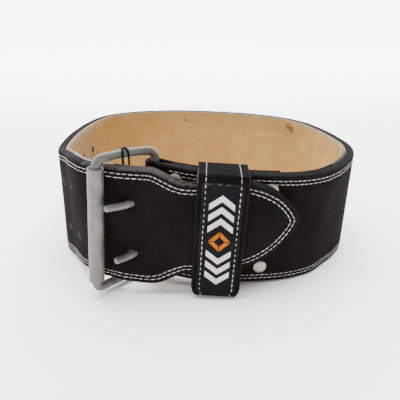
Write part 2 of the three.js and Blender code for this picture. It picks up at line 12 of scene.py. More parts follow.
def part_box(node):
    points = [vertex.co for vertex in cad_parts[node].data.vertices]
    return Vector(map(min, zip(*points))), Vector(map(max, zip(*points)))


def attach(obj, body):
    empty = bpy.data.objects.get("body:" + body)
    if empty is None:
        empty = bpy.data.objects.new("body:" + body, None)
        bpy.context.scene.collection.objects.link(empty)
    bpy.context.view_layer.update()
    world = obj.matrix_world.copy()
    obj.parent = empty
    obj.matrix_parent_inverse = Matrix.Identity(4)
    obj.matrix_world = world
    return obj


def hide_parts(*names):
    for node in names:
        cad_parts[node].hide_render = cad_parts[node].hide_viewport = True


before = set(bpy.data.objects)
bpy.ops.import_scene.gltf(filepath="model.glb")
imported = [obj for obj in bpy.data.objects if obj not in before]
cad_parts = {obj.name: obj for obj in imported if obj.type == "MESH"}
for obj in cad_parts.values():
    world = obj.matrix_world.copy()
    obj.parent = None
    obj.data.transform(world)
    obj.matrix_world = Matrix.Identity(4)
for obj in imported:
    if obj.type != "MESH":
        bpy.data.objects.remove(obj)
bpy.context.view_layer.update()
MM = 0.001

# Loop of the strap, outer face to outer face
LOOP_WIDTH = 0.287
LOOP_DEPTH = 0.248

# Leather: the strap, its lining, and the strap folded round the bar
STRAP_WIDTH = 0.1
STRAP_THICKNESS = 0.0075
LINING_THICKNESS = 0.0025
LINING_SETBACK = 0.0015
DYED_BEFORE_BAR = 0.025
DYED_PAST_BAR = 0.17
FADE = 0.05
FOLD_WALL = 0.004
FLAP_THICKNESS = 0.0035
FLAP_LENGTH = 0.108
FOLD_TAPER = 0.014
BAR_INSET = 0.0135
SETTLE_LENGTH = 0.078

# Tongue
TONGUE_WIDTH = 0.0774
TONGUE_REACH = 0.1223
TIP_LENGTH = 0.055
TIP_BLUNT = 0.0006
TAPER_START = 0.0045
TAPER_LENGTH = 0.031
CROSSOVER_LENGTH = 0.095

# Prong holes
HOLE_DIAMETER = 0.007
HOLE_SPACING = 0.044
HOLE_PITCH = 0.02975
HOLE_COLUMNS = 8
HOLE_TO_BAR = 0.0105

# Buckle
WIRE_DIAMETER = 0.007
FRAME_CORNER = 0.0065
LEG_SAG = 0.004
ROLLER_DIAMETER = 0.0123
ROLLER_WALL = 0.0014
PRONG_DIAMETER = 0.0056
PRONG_EYE_WIRE = 0.0044
PRONG_BLUNT = 0.55
PRONG_ROUND = 0.6
PRONG_CLOSES = 0.96

# Keeper and patch
KEEPER_WIDTH = 0.04
KEEPER_WALL = 0.0025
KEEPER_CORNER = 0.0025
KEEPER_TO_BAR = 0.0598
KEEPER_TILT = 1
KEEPER_PULL = 0.0075
KEEPER_NARROWS = 0.13
BULGE = 0.0004
BULGE_WAVES = 3.2
LABEL_WIDTH = 0.032
LABEL_THICKNESS = 0.0008
LABEL_CORNER = 0.003
LABEL_DIP = 0.8
LABEL_FACE = 0.85
LABEL_STEPS = [
    {"inset": 0, "share": 0, "edge": 1},
    {"inset": 0, "share": 0.5, "edge": 1},
    {"inset": 0.0001, "share": 0.8, "edge": 1},
    {"inset": 0.0004, "share": 1, "edge": 1},
    {"inset": 0.0012, "share": 1, "edge": 0},
    {"inset": 0.0016, "share": LABEL_DIP, "edge": 0},
    {"inset": 0.0022, "share": LABEL_FACE, "edge": 0},
]

# Rivets
RIVET_HEAD = 0.0118
RIVET_DOME = 0.0018
RIVET_CAP = 0.009
RIVET_CAP_HEIGHT = 0.0011
RIVET_SHANK = 0.004
RIVET_RIM = 0.0004
RIVET_ROUND = 0.8
RIVET_CENTRE = 0.0001

# Clearances, and how far a cutter reaches past what it cuts
GAP = 0.0003
PRONG_CLEARANCE = 0.0006
CUT_PAST = 0.002

# Rounding of the leather's edges, and the seam between its layers
SKIN_RADIUS = 0.0018
BACK_RADIUS = 0.0008
LINING_RADIUS = 0.0006
KEEPER_RADIUS = 0.0009
KEEPER_CHAMFER = 0.3
SEAM_AT = 0.42
SEAM_HALF = 0.0005
SEAM_DEPTH = 0.0004
SEAM_LIP = 0.00005

# Elastic thread: where each turn crosses the frame's leg, and how its ends drift along the leg
ELASTIC_RADIUS = 0.0008
ELASTIC_DROP = 0.03
ELASTIC_NEAR = 0.001
ELASTIC_FAR = 0.002
ELASTIC_PAST = 0.1
ELASTIC_TURNS = [
    {"at": 0.029, "twist": 0.0022, "front": -0.0004, "back": 0.0018},
    {"at": 0.0262, "twist": -0.0004, "front": 0.0022, "back": 0.001},
]

# Print on the patch
CHEVRON_TOPS = (0.0395, 0.03, 0.0205)
CHEVRON_HALF = 0.0098
CHEVRON_DROP = 0.0075
CHEVRON_STROKE = 0.0052
DIAMOND_SIZE = 0.00828
DIAMOND_HOLE = 0.45
DIAMOND_SPLIT = 0.12
PRINT_BASE = 0.0005

# Sewing
ROW_FROM_EDGE = 0.0041
ROW_STEP = 0.0031
ROW_START = 0.014
LINING_ROW = 0.0024
STITCH_PITCH = 0.0044
STITCH_LENGTH = 0.0036
STITCH_RADIUS = 0.00034
GROOVE_DEPTH = 0.0004
GROOVE_HALF = 0.0009
GROOVE = ((1, 0), (0.5, 0.65), (0, 1), (-0.5, 0.65), (-1, 0))
STITCH_SINK = 0.0001
LINING_STITCH_SINK = 0.00005
LINING_STITCH_SHARE = 0.75
PATH_START = 0.001
FLAP_ROW_START = 0.03
KEEPER_ROW = 0.0133
KEEPER_PITCH_SHARE = 1.08

# Rubbed rim of the tongue: where, half its size along and up, its depth, and how far below the skin
WORN_AT = 0.01
WORN_HALF = (0.07, 0.012)
WORN_DEPTH = 0.011
WORN_BELOW = 0.003

# Marks: how far through the leather they reach, and their ragged outline
MARK_DEPTH = 0.03
MARK_GRAIN = 260
MARK_RAGGED = 0.7
MARK_END = 1.3

# Unevenness: stitches in length, turn, drift and flatness, the wire's waves and the roller's dents
STITCH_LENGTHS = (0.93, 1.05)
STITCH_TURN = 0.05
STITCH_DRIFT = 0.00006
STITCH_FLAT = 0.9
WIRE_WAVES = ((0.012, 0.21), (0.01, 0.083))
ROLLER_DENTS = [
    {"depth": 0.00006, "along": 210, "from": 0, "round": 2, "turn": 1},
    {"depth": 0.00005, "along": 95, "from": 2, "round": 3, "turn": math.pi / 2},
]

# Faceting
STATION_STEP = 0.0025
TIP_STATIONS = 30
FOLD_STATIONS = 18
LENGTH_SAMPLES = 2000
OUTLINE_STEP = 0.00005
TIP_STEP = 0.0002
WIRE_SIDES = 28
STITCH_SIDES = 7
CUTTER_SIDES = 24
SLOT_SIDES = 36
RIVET_SIDES = 40
ELASTIC_SIDES = 12
FLAP_END_STATIONS = 90
ON_FRONT = 0.02
EYE_STATIONS = 48
LEG_STATIONS = 400
FRAME_STATIONS = 260
PRONG_STATIONS = 160

# Plan of the loop, walked from the bar over the front, the right side, the back, the left side and
# round to the front again: shares of half the loop's width and depth.
LOOP = {
    "x": [-0.337, -0.085, 0.075, 0.249, 0.402, 0.548, 0.683, 0.822, 0.925, 0.977, 0.998, 0.977, 0.923,
          0.831, 0.669, 0.434, 0.138, -0.17, -0.462, -0.699, -0.859, -0.943, -0.978, -0.988, -0.981,
          -0.936, -0.859, -0.739, -0.615, -0.469],
    "y": [-0.982, -0.998, -0.99, -0.975, -0.953, -0.913, -0.84, -0.677, -0.508, -0.371, -0.21, -0.008,
          0.243, 0.502, 0.708, 0.855, 0.951, 0.996, 0.968, 0.871, 0.71, 0.444, 0.177, -0.081, -0.306,
          -0.48, -0.629, -0.828, -0.942, -0.977],
}

# How far the band stands off the floor and leans along the walk, in shares of the strap's width.
# Turn 0 is the bar, turn 1 the bar again under the tongue.
STANCE = {
    "turn": [0, 0.034, 0.06, 0.088, 0.114, 0.138, 0.162, 0.19, 0.22, 0.26, 0.5, 0.8, 0.849, 0.874,
             0.907, 0.93, 0.949, 0.966, 0.985, 1.01, 1.034, 1.06, 1.088, 1.114, 1.145],
    "rise": [0.09, 0.069, 0.053, 0.037, 0.023, 0.012, 0.009, 0.008, 0.005, 0, 0, 0, 0.01, 0.035, 0.077,
             0.113, 0.126, 0.132, 0.123, 0.113, 0.116, 0.12, 0.146, 0.1655, 0.177],
    "lean": [-0.04, -0.035, -0.02, 0, 0.03, 0.05, 0.065, 0.065, 0.03, 0, 0, 0, -0.03, -0.022, -0.004,
             0.013, 0.018, 0.014, -0.002, -0.02, -0.022, -0.006, 0.018, 0.04, 0.065],
}

PRONGS = [
    {"name": "prong_upper", "side": 1, "shift": -0.0005, "angle": 43, "reach": 0.0212},
    {"name": "prong_lower", "side": -1, "shift": 0.0028, "angle": 51, "reach": 0.0187},
]

RIVETS = [
    {"name": "rivet_1", "along": 0.021, "up": 0.39},
    {"name": "rivet_2", "along": 0.021, "up": -0.35},
    {"name": "rivet_3", "along": 0.0985, "up": 0.38},
    {"name": "rivet_4", "along": 0.098, "up": -0.34},
]

# Marks on the lining, of use and one of painted shade on its left wall: place on the walk and above
# the middle of the strap, half size along and up, and turn in degrees
MARKS = [
    {"along": 0.495, "up": 0.039, "half": (0.0028, 0.0016), "turn": 10, "kind": "dark"},
    {"along": 0.35, "up": 0.041, "half": (0.0062, 0.0036), "turn": 35, "kind": "brown"},
    {"along": 0.387, "up": 0.028, "half": (0.022, 0.0032), "turn": -8, "kind": "pale"},
    {"along": 0.325, "up": 0.024, "half": (0.01, 0.009), "turn": 0, "kind": "pale"},
    {"along": 0.27, "up": 0.01, "half": (0.012, 0.02), "turn": 0, "kind": "pale"},
    # painted shade: a large dull-brown patch that darkens the lining's left wall
    {"along": 0.7, "up": 0.02, "half": (0.06, 0.07), "turn": 0, "kind": "painted_shade"},
]

UP = np.array([0.0, 0.0, 1.0])
Band = namedtuple("Band", "point tangent rise normal")
random = np.random.default_rng(7)


def smooth(share):
    s = np.clip(share, 0, 1)
    return s * s * (3 - 2 * s)


def mix(low, high, share):
    return low + (high - low) * share


def unit(vectors):
    return vectors / np.linalg.norm(vectors, axis=-1, keepdims=True)


def spread(values):
    """Values as a column, so that they scale rows of vectors."""
    return np.asarray(values, float)[..., None]


def path_steps(points):
    """How far along its path each point lies."""
    return np.concatenate([[0], np.cumsum(np.linalg.norm(np.diff(points, axis=0), axis=1))])


def path_at(points, at):
    """Places on the path at the given lengths."""
    steps = path_steps(points)
    return np.stack([np.interp(at, steps, column) for column in points.T], axis=-1)


def circle(count):
    return np.linspace(0, 2 * math.pi, count, endpoint=False)


def swing(first, second, angle):
    """From the first direction towards the second by an angle."""
    return first * np.cos(angle) + second * np.sin(angle)


# The walk of the strap


def spline_cubics(before, here, after, beyond):
    """Coefficients of the centripetal spline from here to after."""
    d0, d1, d2 = (
        np.linalg.norm(b - a, axis=-1, keepdims=True) ** 0.5
        for a, b in ((before, here), (here, after), (after, beyond))
    )
    m1 = d1 * ((here - before) / d0 - (after - before) / (d0 + d1) + (after - here) / d1)
    m2 = d1 * ((after - here) / d1 - (beyond - here) / (d1 + d2) + (beyond - after) / d2)
    return here, m1, 3 * (after - here) - 2 * m1 - m2, 2 * (here - after) + m1 + m2


def loop_cubics():
    """The closed spline through the plan's points."""
    here = np.column_stack([np.array(LOOP["x"]) * LOOP_WIDTH, np.array(LOOP["y"]) * LOOP_DEPTH]) / 2
    return spline_cubics(np.roll(here, 1, axis=0), here, *(np.roll(here, -k, axis=0) for k in (1, 2)))


CUBICS = loop_cubics()


def loop_point(t):
    position = (t % 1) * len(LOOP["x"])
    i = np.floor(position).astype(int) % len(LOOP["x"])
    w = spread(position - np.floor(position))
    c0, c1, c2, c3 = (c[i] for c in CUBICS)
    return c0 + w * (c1 + w * (c2 + w * c3)), c1 + w * (2 * c2 + 3 * w * c3)


SAMPLES = np.linspace(0, 1, LENGTH_SAMPLES + 1)
LENGTHS = path_steps(loop_point(SAMPLES)[0])
LOOP_LENGTH = LENGTHS[-1]
WALK_LENGTH = LOOP_LENGTH + TONGUE_REACH
BAND_THICKNESS = STRAP_THICKNESS + GAP + LINING_THICKNESS
TONGUE_STEP = BAND_THICKNESS + RIVET_DOME + 2 * GAP


def stance_slopes(column):
    turn, value = np.array(STANCE["turn"]), np.array(STANCE[column], float)
    slopes = np.empty(len(turn))
    slopes[0] = (value[1] - value[0]) / (turn[1] - turn[0])
    slopes[-1] = (value[-1] - value[-2]) / (turn[-1] - turn[-2])
    rising = (value[2:] - value[1:-1]) * (value[1:-1] - value[:-2]) > 0
    slopes[1:-1] = np.where(rising, (value[2:] - value[:-2]) / (turn[2:] - turn[:-2]), 0)
    return turn, value, slopes


SLOPES = {column: stance_slopes(column) for column in ("rise", "lean")}


def stance_at(turn, column):
    turns, value, slopes = SLOPES[column]
    i = np.clip(np.searchsorted(turns, turn, side="left") - 1, 0, len(turns) - 2)
    span = turns[i + 1] - turns[i]
    s = np.clip((turn - turns[i]) / span, 0, 1)
    square, cube = s * s, s * s * s
    return (
        (2 * cube - 3 * square + 1) * value[i]
        + (cube - 2 * square + s) * span * slopes[i]
        + (3 * square - 2 * cube) * value[i + 1]
        + (cube - square) * span * slopes[i + 1]
    )


def stand_off(along):
    settle = -BAR_INSET * np.clip(1 - along / SETTLE_LENGTH, 0, 1) ** 2
    crossing = TONGUE_STEP * smooth(1 - (LOOP_LENGTH - along) / CROSSOVER_LENGTH)
    return np.where(along < SETTLE_LENGTH, settle, crossing)


def skin_point(along):
    along = np.asarray(along, float)
    turn = along / LOOP_LENGTH
    flat, direction = loop_point(np.interp((turn % 1) * LOOP_LENGTH, LENGTHS, SAMPLES))
    direction = unit(direction)
    level = np.stack([direction[..., 1], -direction[..., 0]], axis=-1)
    flat = flat + level * spread(stand_off(along))
    height = STRAP_WIDTH * (0.5 + stance_at(turn, "rise"))
    return np.concatenate([flat, spread(height)], axis=-1)


def bare_band(along):
    along = np.asarray(along, float)
    low, high = np.maximum(along - MM, 0), np.minimum(along + MM, WALK_LENGTH)
    tangent = unit(skin_point(high) - skin_point(low))
    level = unit(np.cross(tangent, UP))
    rise = unit(np.cross(level, tangent) + level * spread(stance_at(along / LOOP_LENGTH, "lean")))
    return Band(skin_point(along), tangent, rise, unit(np.cross(tangent, rise)))


def place(band, inward, up):
    return band.point - band.normal * spread(inward) + band.rise * spread(up)


def half_width(along):
    side = mix(STRAP_WIDTH, TONGUE_WIDTH, smooth((along - LOOP_LENGTH - TAPER_START) / TAPER_LENGTH)) / 2
    inside = np.clip(TIP_LENGTH - (WALK_LENGTH - along), 0, TIP_LENGTH)
    return side - TIP_RADIUS + np.sqrt(TIP_RADIUS**2 - inside**2)


TIP_RADIUS = (TIP_LENGTH**2 + (TONGUE_WIDTH / 2) ** 2) / TONGUE_WIDTH


def frame_shift():
    """From the plan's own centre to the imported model's frame, by the strap's box."""
    along = np.linspace(0, WALK_LENGTH - TIP_BLUNT, LENGTH_SAMPLES)
    band = bare_band(along)
    edges = np.concatenate([place(band, 0, half_width(along)), place(band, 0, -half_width(along))])
    low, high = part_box("strap")
    shift = (np.array(low) + np.array(high) - edges.min(0) - edges.max(0)) / 2
    return shift * (1 - UP)


SHIFT = frame_shift()


def band_at(along):
    bare = bare_band(along)
    return bare._replace(point=bare.point + SHIFT)


# Meshes


def in_scene(item):
    bpy.context.scene.collection.objects.link(item)
    return item


def new_object(name, vertices, faces, materials):
    mesh = bpy.data.meshes.new(name)
    mesh.from_pydata([tuple(v) for v in vertices], [], [tuple(map(int, f)) for f in faces])
    for material in materials:
        mesh.materials.append(material)
    return in_scene(bpy.data.objects.new(name, mesh))


def add_piece(name, shape, material, faces_material=None, node=(), is_smooth=True):
    """A mesh object that rides on the belt's one body and stands for the given nodes."""
    piece = new_object(name, *shape, material if isinstance(material, list) else [material])
    mesh = piece.data
    if faces_material is not None:
        mesh.polygons.foreach_set("material_index", np.asarray(faces_material, np.int32))
    mesh.polygons.foreach_set("use_smooth", [is_smooth] * len(mesh.polygons))
    mesh.validate()
    mesh.update()
    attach(piece, "root")
    if node:
        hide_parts(*node)
    return piece


def grid_faces(rings, count, closed_rings, start=0):
    """Quads between rings of count points, each ring closed, with end caps if the rings are not."""
    i = np.arange(rings if closed_rings else rings - 1)[:, None]
    j = np.arange(count)[None, :]
    here, over = i * count, ((i + 1) % rings) * count
    k = (j + 1) % count
    quads = np.stack([here + j, over + j, over + k, here + k], axis=-1).reshape(-1, 4) + start
    faces = [list(q) for q in quads]
    if not closed_rings:
        faces.append(list(start + np.arange(count)))
        faces.append(list(start + (rings - 1) * count + np.arange(count)[::-1]))
    return faces


def ring_shape(rings, closed=False):
    """Points and faces of rings of points that follow each other."""
    return rings.reshape(-1, 3), grid_faces(*rings.shape[:2], closed)


def lathe(centre, ring, axis, reach, height, closed=False):
    """A profile turned about an axis, by its reach and its height."""
    return ring_shape(centre + ring * spread(reach) + axis * height[:, None, None], closed)


def outward(piece):
    """Turns the faces of a closed mesh out."""
    mesh = piece.data
    mesh.calc_loop_triangles()
    co = np.array([v.co for v in mesh.vertices], float)
    tri = np.array([t.vertices[:] for t in mesh.loop_triangles])
    a, b, c = co[tri[:, 0]], co[tri[:, 1]], co[tri[:, 2]]
    if np.einsum("ij,ij->i", a, np.cross(b, c)).sum() < 0:
        mesh.flip_normals()
    return piece


def rod_mesh(points, side, radii, sides=WIRE_SIDES, closed=False):
    """A round rod along points, with a steady side direction for each point."""
    points = np.asarray(points, float)
    if closed:
        tangent = unit(np.roll(points, -1, axis=0) - np.roll(points, 1, axis=0))
    else:
        tangent = unit(np.gradient(points, axis=0))
    side = np.broadcast_to(side, points.shape)
    side = unit(side - tangent * spread((side * tangent).sum(-1)))
    angle = circle(sides)[:, None]
    ring = swing(side[:, None], np.cross(tangent, side)[:, None], angle)
    radii = np.broadcast_to(radii, len(points))[:, None, None]
    return ring_shape(points[:, None] + ring * radii, closed)


def joined(parts):
    """Several (vertices, faces) as one."""
    vertices, faces, count = [], [], 0
    for v, f in parts:
        vertices.append(np.asarray(v))
        faces.extend([[count + i for i in face] for face in f])
        count += len(v)
    return np.concatenate(vertices), faces


def cylinder_between(start, end, radius, sides=CUTTER_SIDES):
    axis = unit(np.asarray(end) - np.asarray(start))
    side = unit(np.cross(axis, [0.3, 0.5, 0.8]))
    return rod_mesh([start, end], side, radius, sides)


def cut_piece(piece, cutters, wall_material):
    """Takes the joined cutters out of the piece; the walls of the cuts get their own material."""
    cutter = outward(new_object("cutter", *joined(cutters), [wall_material]))
    piece.data.materials.append(wall_material)
    modifier = piece.modifiers.new("cut", "BOOLEAN")
    modifier.object = cutter
    modifier.solver = "EXACT"
    modifier.use_self = True
    modifier.material_mode = "TRANSFER"
    depsgraph = bpy.context.evaluated_depsgraph_get()
    result = bpy.data.meshes.new_from_object(piece.evaluated_get(depsgraph), depsgraph=depsgraph)
    piece.modifiers.clear()
    piece.data = result
    bpy.data.objects.remove(cutter)


# Materials


class Nodes:
    """Small helper that adds shader nodes to one material."""

    def __init__(self, name):
        self.material = bpy.data.materials.new(name)
        self.material.use_nodes = True
        self.tree = self.material.node_tree
        self.shader = self.tree.nodes["Principled BSDF"]
        self.place = self.tree.nodes.new("ShaderNodeTexCoord").outputs["Object"]

    def put(self, socket, value):
        """A number, a colour or another node's output into a socket."""
        if isinstance(value, bpy.types.NodeSocket):
            self.tree.links.new(value, socket)
        else:
            socket.default_value = (*value, 1) if socket.type == "RGBA" else value

    def node(self, kind, inputs, **settings):
        node = self.tree.nodes.new("ShaderNode" + kind)
        for name, value in settings.items():
            setattr(node, name, value)
        for key, value in inputs.items():
            self.put(node.inputs[key], value)
        return node

    def noise(self, scale, detail=4, roughness=0.6, stretch=None, distortion=0):
        place = self.place
        if stretch is not None:
            place = self.node("Mapping", {"Vector": place, "Scale": stretch}).outputs["Vector"]
        inputs = {"Vector": place, "Scale": scale, "Detail": detail, "Roughness": roughness,
                  "Distortion": distortion}
        return self.node("TexNoise", inputs).outputs["Fac"]

    def cells(self, scale, feature="F1"):
        inputs = {"Vector": self.place, "Scale": scale}
        return self.node("TexVoronoi", inputs, feature=feature).outputs["Distance"]

    def ramp(self, value, low, high, dark, light):
        """A colour that goes from dark at low to light at high."""
        node = self.node("ValToRGB", {"Fac": value})
        for element, position, colour in zip(node.color_ramp.elements, (low, high), (dark, light)):
            element.position = position
            element.color = (*colour, 1)
        return node.outputs["Color"]

    def range(self, value, low, high, start=0.0, end=1.0):
        inputs = {"Value": value, "From Min": low, "From Max": high, "To Min": start, "To Max": end}
        return self.node("MapRange", inputs, interpolation_type="SMOOTHSTEP").outputs["Result"]

    def math(self, operation, first, second):
        return self.node("Math", {0: first, 1: second}, operation=operation).outputs["Value"]

    def times(self, first, second):
        return self.math("MULTIPLY", first, second)

    def blend(self, share, first, second):
        """A colour between the first and the second."""
        return self.node("Mix", {0: share, 6: first, 7: second}, data_type="RGBA").outputs[2]

    def mark(self, centre, half, turn, axis_along, edge=0.5, depth=MARK_DEPTH):
        """A soft blotch on the surface round a place, with a ragged outline."""
        offset = self.node("VectorMath", {0: self.place, 1: centre}, operation="SUBTRACT").outputs["Vector"]
        angle = math.radians(turn)
        along, up = swing(axis_along, UP, angle), swing(UP, -axis_along, angle)
        squares = []
        for direction, size in ((along, half[0]), (up, half[1]), (np.cross(axis_along, UP), depth)):
            dot = self.node("VectorMath", {0: offset, 1: direction / size}, operation="DOT_PRODUCT")
            squares.append(self.math("POWER", dot.outputs["Value"], 2))
        far = self.math("ADD", self.math("ADD", squares[0], squares[1]), squares[2])
        rough = self.range(self.noise(MARK_GRAIN, 3), 0.3, 0.7, -MARK_RAGGED, MARK_RAGGED)
        return self.range(self.math("ADD", far, rough), edge, MARK_END, 1.0, 0.0)

    def bump(self, height, distance, strength, below=None):
        inputs = {"Distance": distance, "Strength": strength, "Height": height}
        if below is not None:
            inputs["Normal"] = below
        return self.node("Bump", inputs).outputs["Normal"]

    def set(self, **values):
        """What is the same all over goes on the shader's own sockets as a number or a colour."""
        for name, value in values.items():
            self.put(self.shader.inputs[name.replace("_", " ")], value)
        return self.material


def scaled(colour, factor):
    return tuple(channel * factor for channel in colour)


def grained(name, noise, low, high, dark, light, bump, **looks):
    """A material of one noise, which gives its colour from dark to light and its bump."""
    n = Nodes(name)
    grain = n.noise(*noise)
    base = n.ramp(grain, low, high, dark, light)
    return n.set(Base_Color=base, Normal=n.bump(grain, *bump), **looks)


def suede_material(name, dark, light):
    """Napped black leather: dusty patches, short fibres and stray specks."""
    n = Nodes(name)
    nap = n.noise(34, 5, 0.65)
    fibre = n.noise(1500, 3, 0.7)
    base = n.ramp(nap, 0.32, 0.72, dark, light)
    rubbed = n.range(n.noise(21, 3, 0.5, distortion=0.8), 0.58, 0.75)
    scuff = n.times(rubbed, n.range(fibre, 0.4, 0.7))
    base = n.blend(n.times(scuff, 0.35), base, scaled(light, 3.2))
    fibres = n.blend(n.range(fibre, 0.5, 0.8, 0.0, 0.3), base, scaled(light, 2.6))
    specks = n.range(n.cells(330), 0.0, 0.085, 1.0, 0.0)
    rare = n.range(n.noise(75, 2), 0.52, 0.64)
    dusty = n.blend(n.times(n.times(specks, rare), 0.6), fibres, (0.3, 0.29, 0.27))
    bump = n.bump(n.noise(420, 4, 0.7), 0.00025, 0.6)
    bump = n.bump(fibre, 0.00014, 0.7, bump)
    return n.set(Base_Color=dusty, Roughness=1.0, Normal=bump, Sheen_Weight=0.006, Sheen_Roughness=0.5,
                 Sheen_Tint=(0.8, 0.77, 0.74), Specular_IOR_Level=0.03)


def edge_material():
    """Painted cut edge, rubbed grey on its high spots."""
    n = Nodes("edge_paint")
    wear = n.noise(120, 6, 0.7, stretch=(1, 1, 2.2))
    streak = n.noise(700, 4, 0.75)
    base = n.ramp(wear, 0.38, 0.66, (0.0045, 0.0045, 0.0043), (0.017, 0.0165, 0.0155))
    rubbed = n.blend(n.range(streak, 0.52, 0.75, 0.0, 0.45), base, (0.045, 0.043, 0.039))
    band = band_at(LOOP_LENGTH + WORN_AT)
    spot = n.mark(place(band, WORN_BELOW, half_width(LOOP_LENGTH + WORN_AT)), WORN_HALF, 0, band.tangent,
                  depth=WORN_DEPTH)
    worn = n.times(spot, n.range(streak, 0.35, 0.7, 0.45, 0.8))
    rubbed = n.blend(worn, rubbed, (0.095, 0.09, 0.082))
    bump = n.bump(streak, 0.00035, 0.8, n.bump(wear, 0.0008, 0.5))
    return n.set(Base_Color=rubbed, Roughness=n.range(wear, 0.3, 0.7, 0.8, 0.95), Normal=bump,
                 Specular_IOR_Level=0.05)


def lining_material():
    """Smooth vegetable-tanned leather with pores, soft mottling, marks of use and painted shade on the left
    wall.
    """
    n = Nodes("tan_leather")
    tone = n.noise(16, 4, 0.6, stretch=(1, 1, 0.55))
    blot = n.noise(58, 5, 0.6, distortion=0.4)
    pores = n.cells(1400)
    base = n.ramp(tone, 0.3, 0.7, (0.365, 0.198, 0.052), (0.455, 0.268, 0.084))
    base = n.blend(n.range(blot, 0.42, 0.72, 0.0, 0.3), base, (0.3, 0.14, 0.026))
    base = n.blend(n.range(n.noise(900, 3, 0.6), 0.4, 0.75, 0.0, 0.16), base, (0.25, 0.1, 0.035))
    looks = {
        "dark": (0.7, (0.12, 0.06, 0.03)),
        "brown": (0.9, (0.14, 0.075, 0.025)),
        "pale": (0.22, (0.62, 0.4, 0.19)),
        # painted shade: darkens the lining on its left wall
        "painted_shade": (0.65, (0.19, 0.12, 0.06)),
    }
    for mark in MARKS:
        band = band_at(mark["along"])
        centre = place(band, BAND_THICKNESS, mark["up"])
        share, colour = looks[mark["kind"]]
        spot = n.mark(centre, mark["half"], mark["turn"], band.tangent)
        base = n.blend(n.times(spot, share), base, colour)
    bump = n.bump(pores, 0.0001, 0.35, n.bump(blot, 0.0005, 0.25))
    return n.set(Base_Color=base, Roughness=n.range(blot, 0.3, 0.7, 0.5, 0.68), Normal=bump,
                 Specular_IOR_Level=0.2)


def cut_edge_material():
    """Undyed cut edge of the lining."""
    n = Nodes("cream_cut_edge")
    grain = n.noise(600, 5, 0.7)
    base = n.ramp(grain, 0.3, 0.72, (0.14, 0.112, 0.075), (0.44, 0.36, 0.25))
    band = band_at(DYED_PAST_BAR)
    start = n.mark(place(band, BAND_THICKNESS, STRAP_WIDTH / 2), (FADE, FADE), 0, band.tangent, edge=0.2)
    base = n.blend(start, base, (0.02, 0.0185, 0.016))
    return n.set(Base_Color=base, Roughness=0.85, Normal=n.bump(grain, 0.0003, 0.7))


def core_material():
    """Raw leather in the walls of the punched holes."""
    return grained("punched_wall", (900, 5, 0.7), 0.3, 0.75, (0.035, 0.033, 0.03), (0.19, 0.178, 0.16),
                   (0.0003, 0.7), Roughness=0.9)


def steel_material():
    """Dull zinc-plated steel with faint clouds, pits and rubbed spots."""
    n = Nodes("plated_steel")
    cloud = n.noise(95, 5, 0.6)
    grain = n.noise(1300, 4, 0.7)
    scratch = n.noise(420, 3, 0.6, stretch=(1, 1, 0.12))
    base = n.ramp(cloud, 0.3, 0.72, (0.086, 0.087, 0.077), (0.178, 0.178, 0.16))
    base = n.blend(n.range(grain, 0.55, 0.8, 0.0, 0.4), base, (0.09, 0.09, 0.083))
    base = n.blend(n.range(scratch, 0.62, 0.75, 0.0, 0.35), base, (0.32, 0.32, 0.3))
    bump = n.bump(grain, 0.00008, 0.5, n.bump(cloud, 0.0004, 0.4))
    return n.set(Base_Color=base, Metallic=0.4, Roughness=n.range(cloud, 0.3, 0.7, 0.42, 0.56),
                 Normal=bump)


def rivet_material():
    """Nickel-plated rivet heads, a little warm and tarnished."""
    n = Nodes("rivet_plate")
    cloud = n.noise(240, 5, 0.6)
    base = n.ramp(cloud, 0.35, 0.7, (0.27, 0.225, 0.18), (0.39, 0.335, 0.275))
    spots = n.range(n.noise(900, 3), 0.62, 0.75, 0.0, 0.5)
    base = n.blend(spots, base, (0.3, 0.25, 0.2))
    return n.set(Base_Color=base, Metallic=0.6, Roughness=n.range(cloud, 0.3, 0.7, 0.28, 0.42),
                 Normal=n.bump(cloud, 0.0001, 0.4))


def thread_material(name, dark, light):
    """Waxed sewing thread, dirty in places."""
    n = Nodes(name)
    dirt = n.noise(300, 4, 0.6)
    ply = n.noise(3200, 2, 0.5)
    base = n.ramp(dirt, 0.34, 0.6, dark, light)
    return n.set(Base_Color=base, Roughness=0.75, Normal=n.bump(ply, 0.0002, 0.8), Sheen_Weight=0.2)


def patch_material():
    """Smooth coated cloth with a fine weave."""
    n = Nodes("patch_cloth")
    weave = n.times(*(n.noise(2600, 1, stretch=s) for s in ((1, 1, 0.3), (0.3, 0.3, 1))))
    nap = n.noise(70, 5, 0.65)
    base = n.ramp(nap, 0.35, 0.72, (0.0042, 0.0044, 0.0052), (0.008, 0.0084, 0.0096))
    return n.set(Base_Color=base, Roughness=0.75, Normal=n.bump(weave, 0.0002, 0.6),
                 Specular_IOR_Level=0.05)


def print_material(name, dark, light):
    """Thick screen print with fine cracks."""
    n = Nodes(name)
    crack = n.range(n.cells(800, "DISTANCE_TO_EDGE"), 0.0, 0.06, 0.45, 0.0)
    wear = n.noise(420, 5, 0.7)
    base = n.ramp(wear, 0.3, 0.65, dark, light)
    base = n.blend(crack, base, scaled(dark, 0.35))
    return n.set(Base_Color=base, Roughness=0.75, Normal=n.bump(wear, 0.0001, 0.5),
                 Specular_IOR_Level=0.08)


def elastic_material():
    return grained("black_elastic", (2400, 2), 0.3, 0.7, (0.002, 0.002, 0.002), (0.007, 0.007, 0.007),
                   (0.0002, 0.6), Roughness=0.8, Specular_IOR_Level=0.1)


# The two layers of leather

Column = namedtuple("Column", "depth share distance middle")


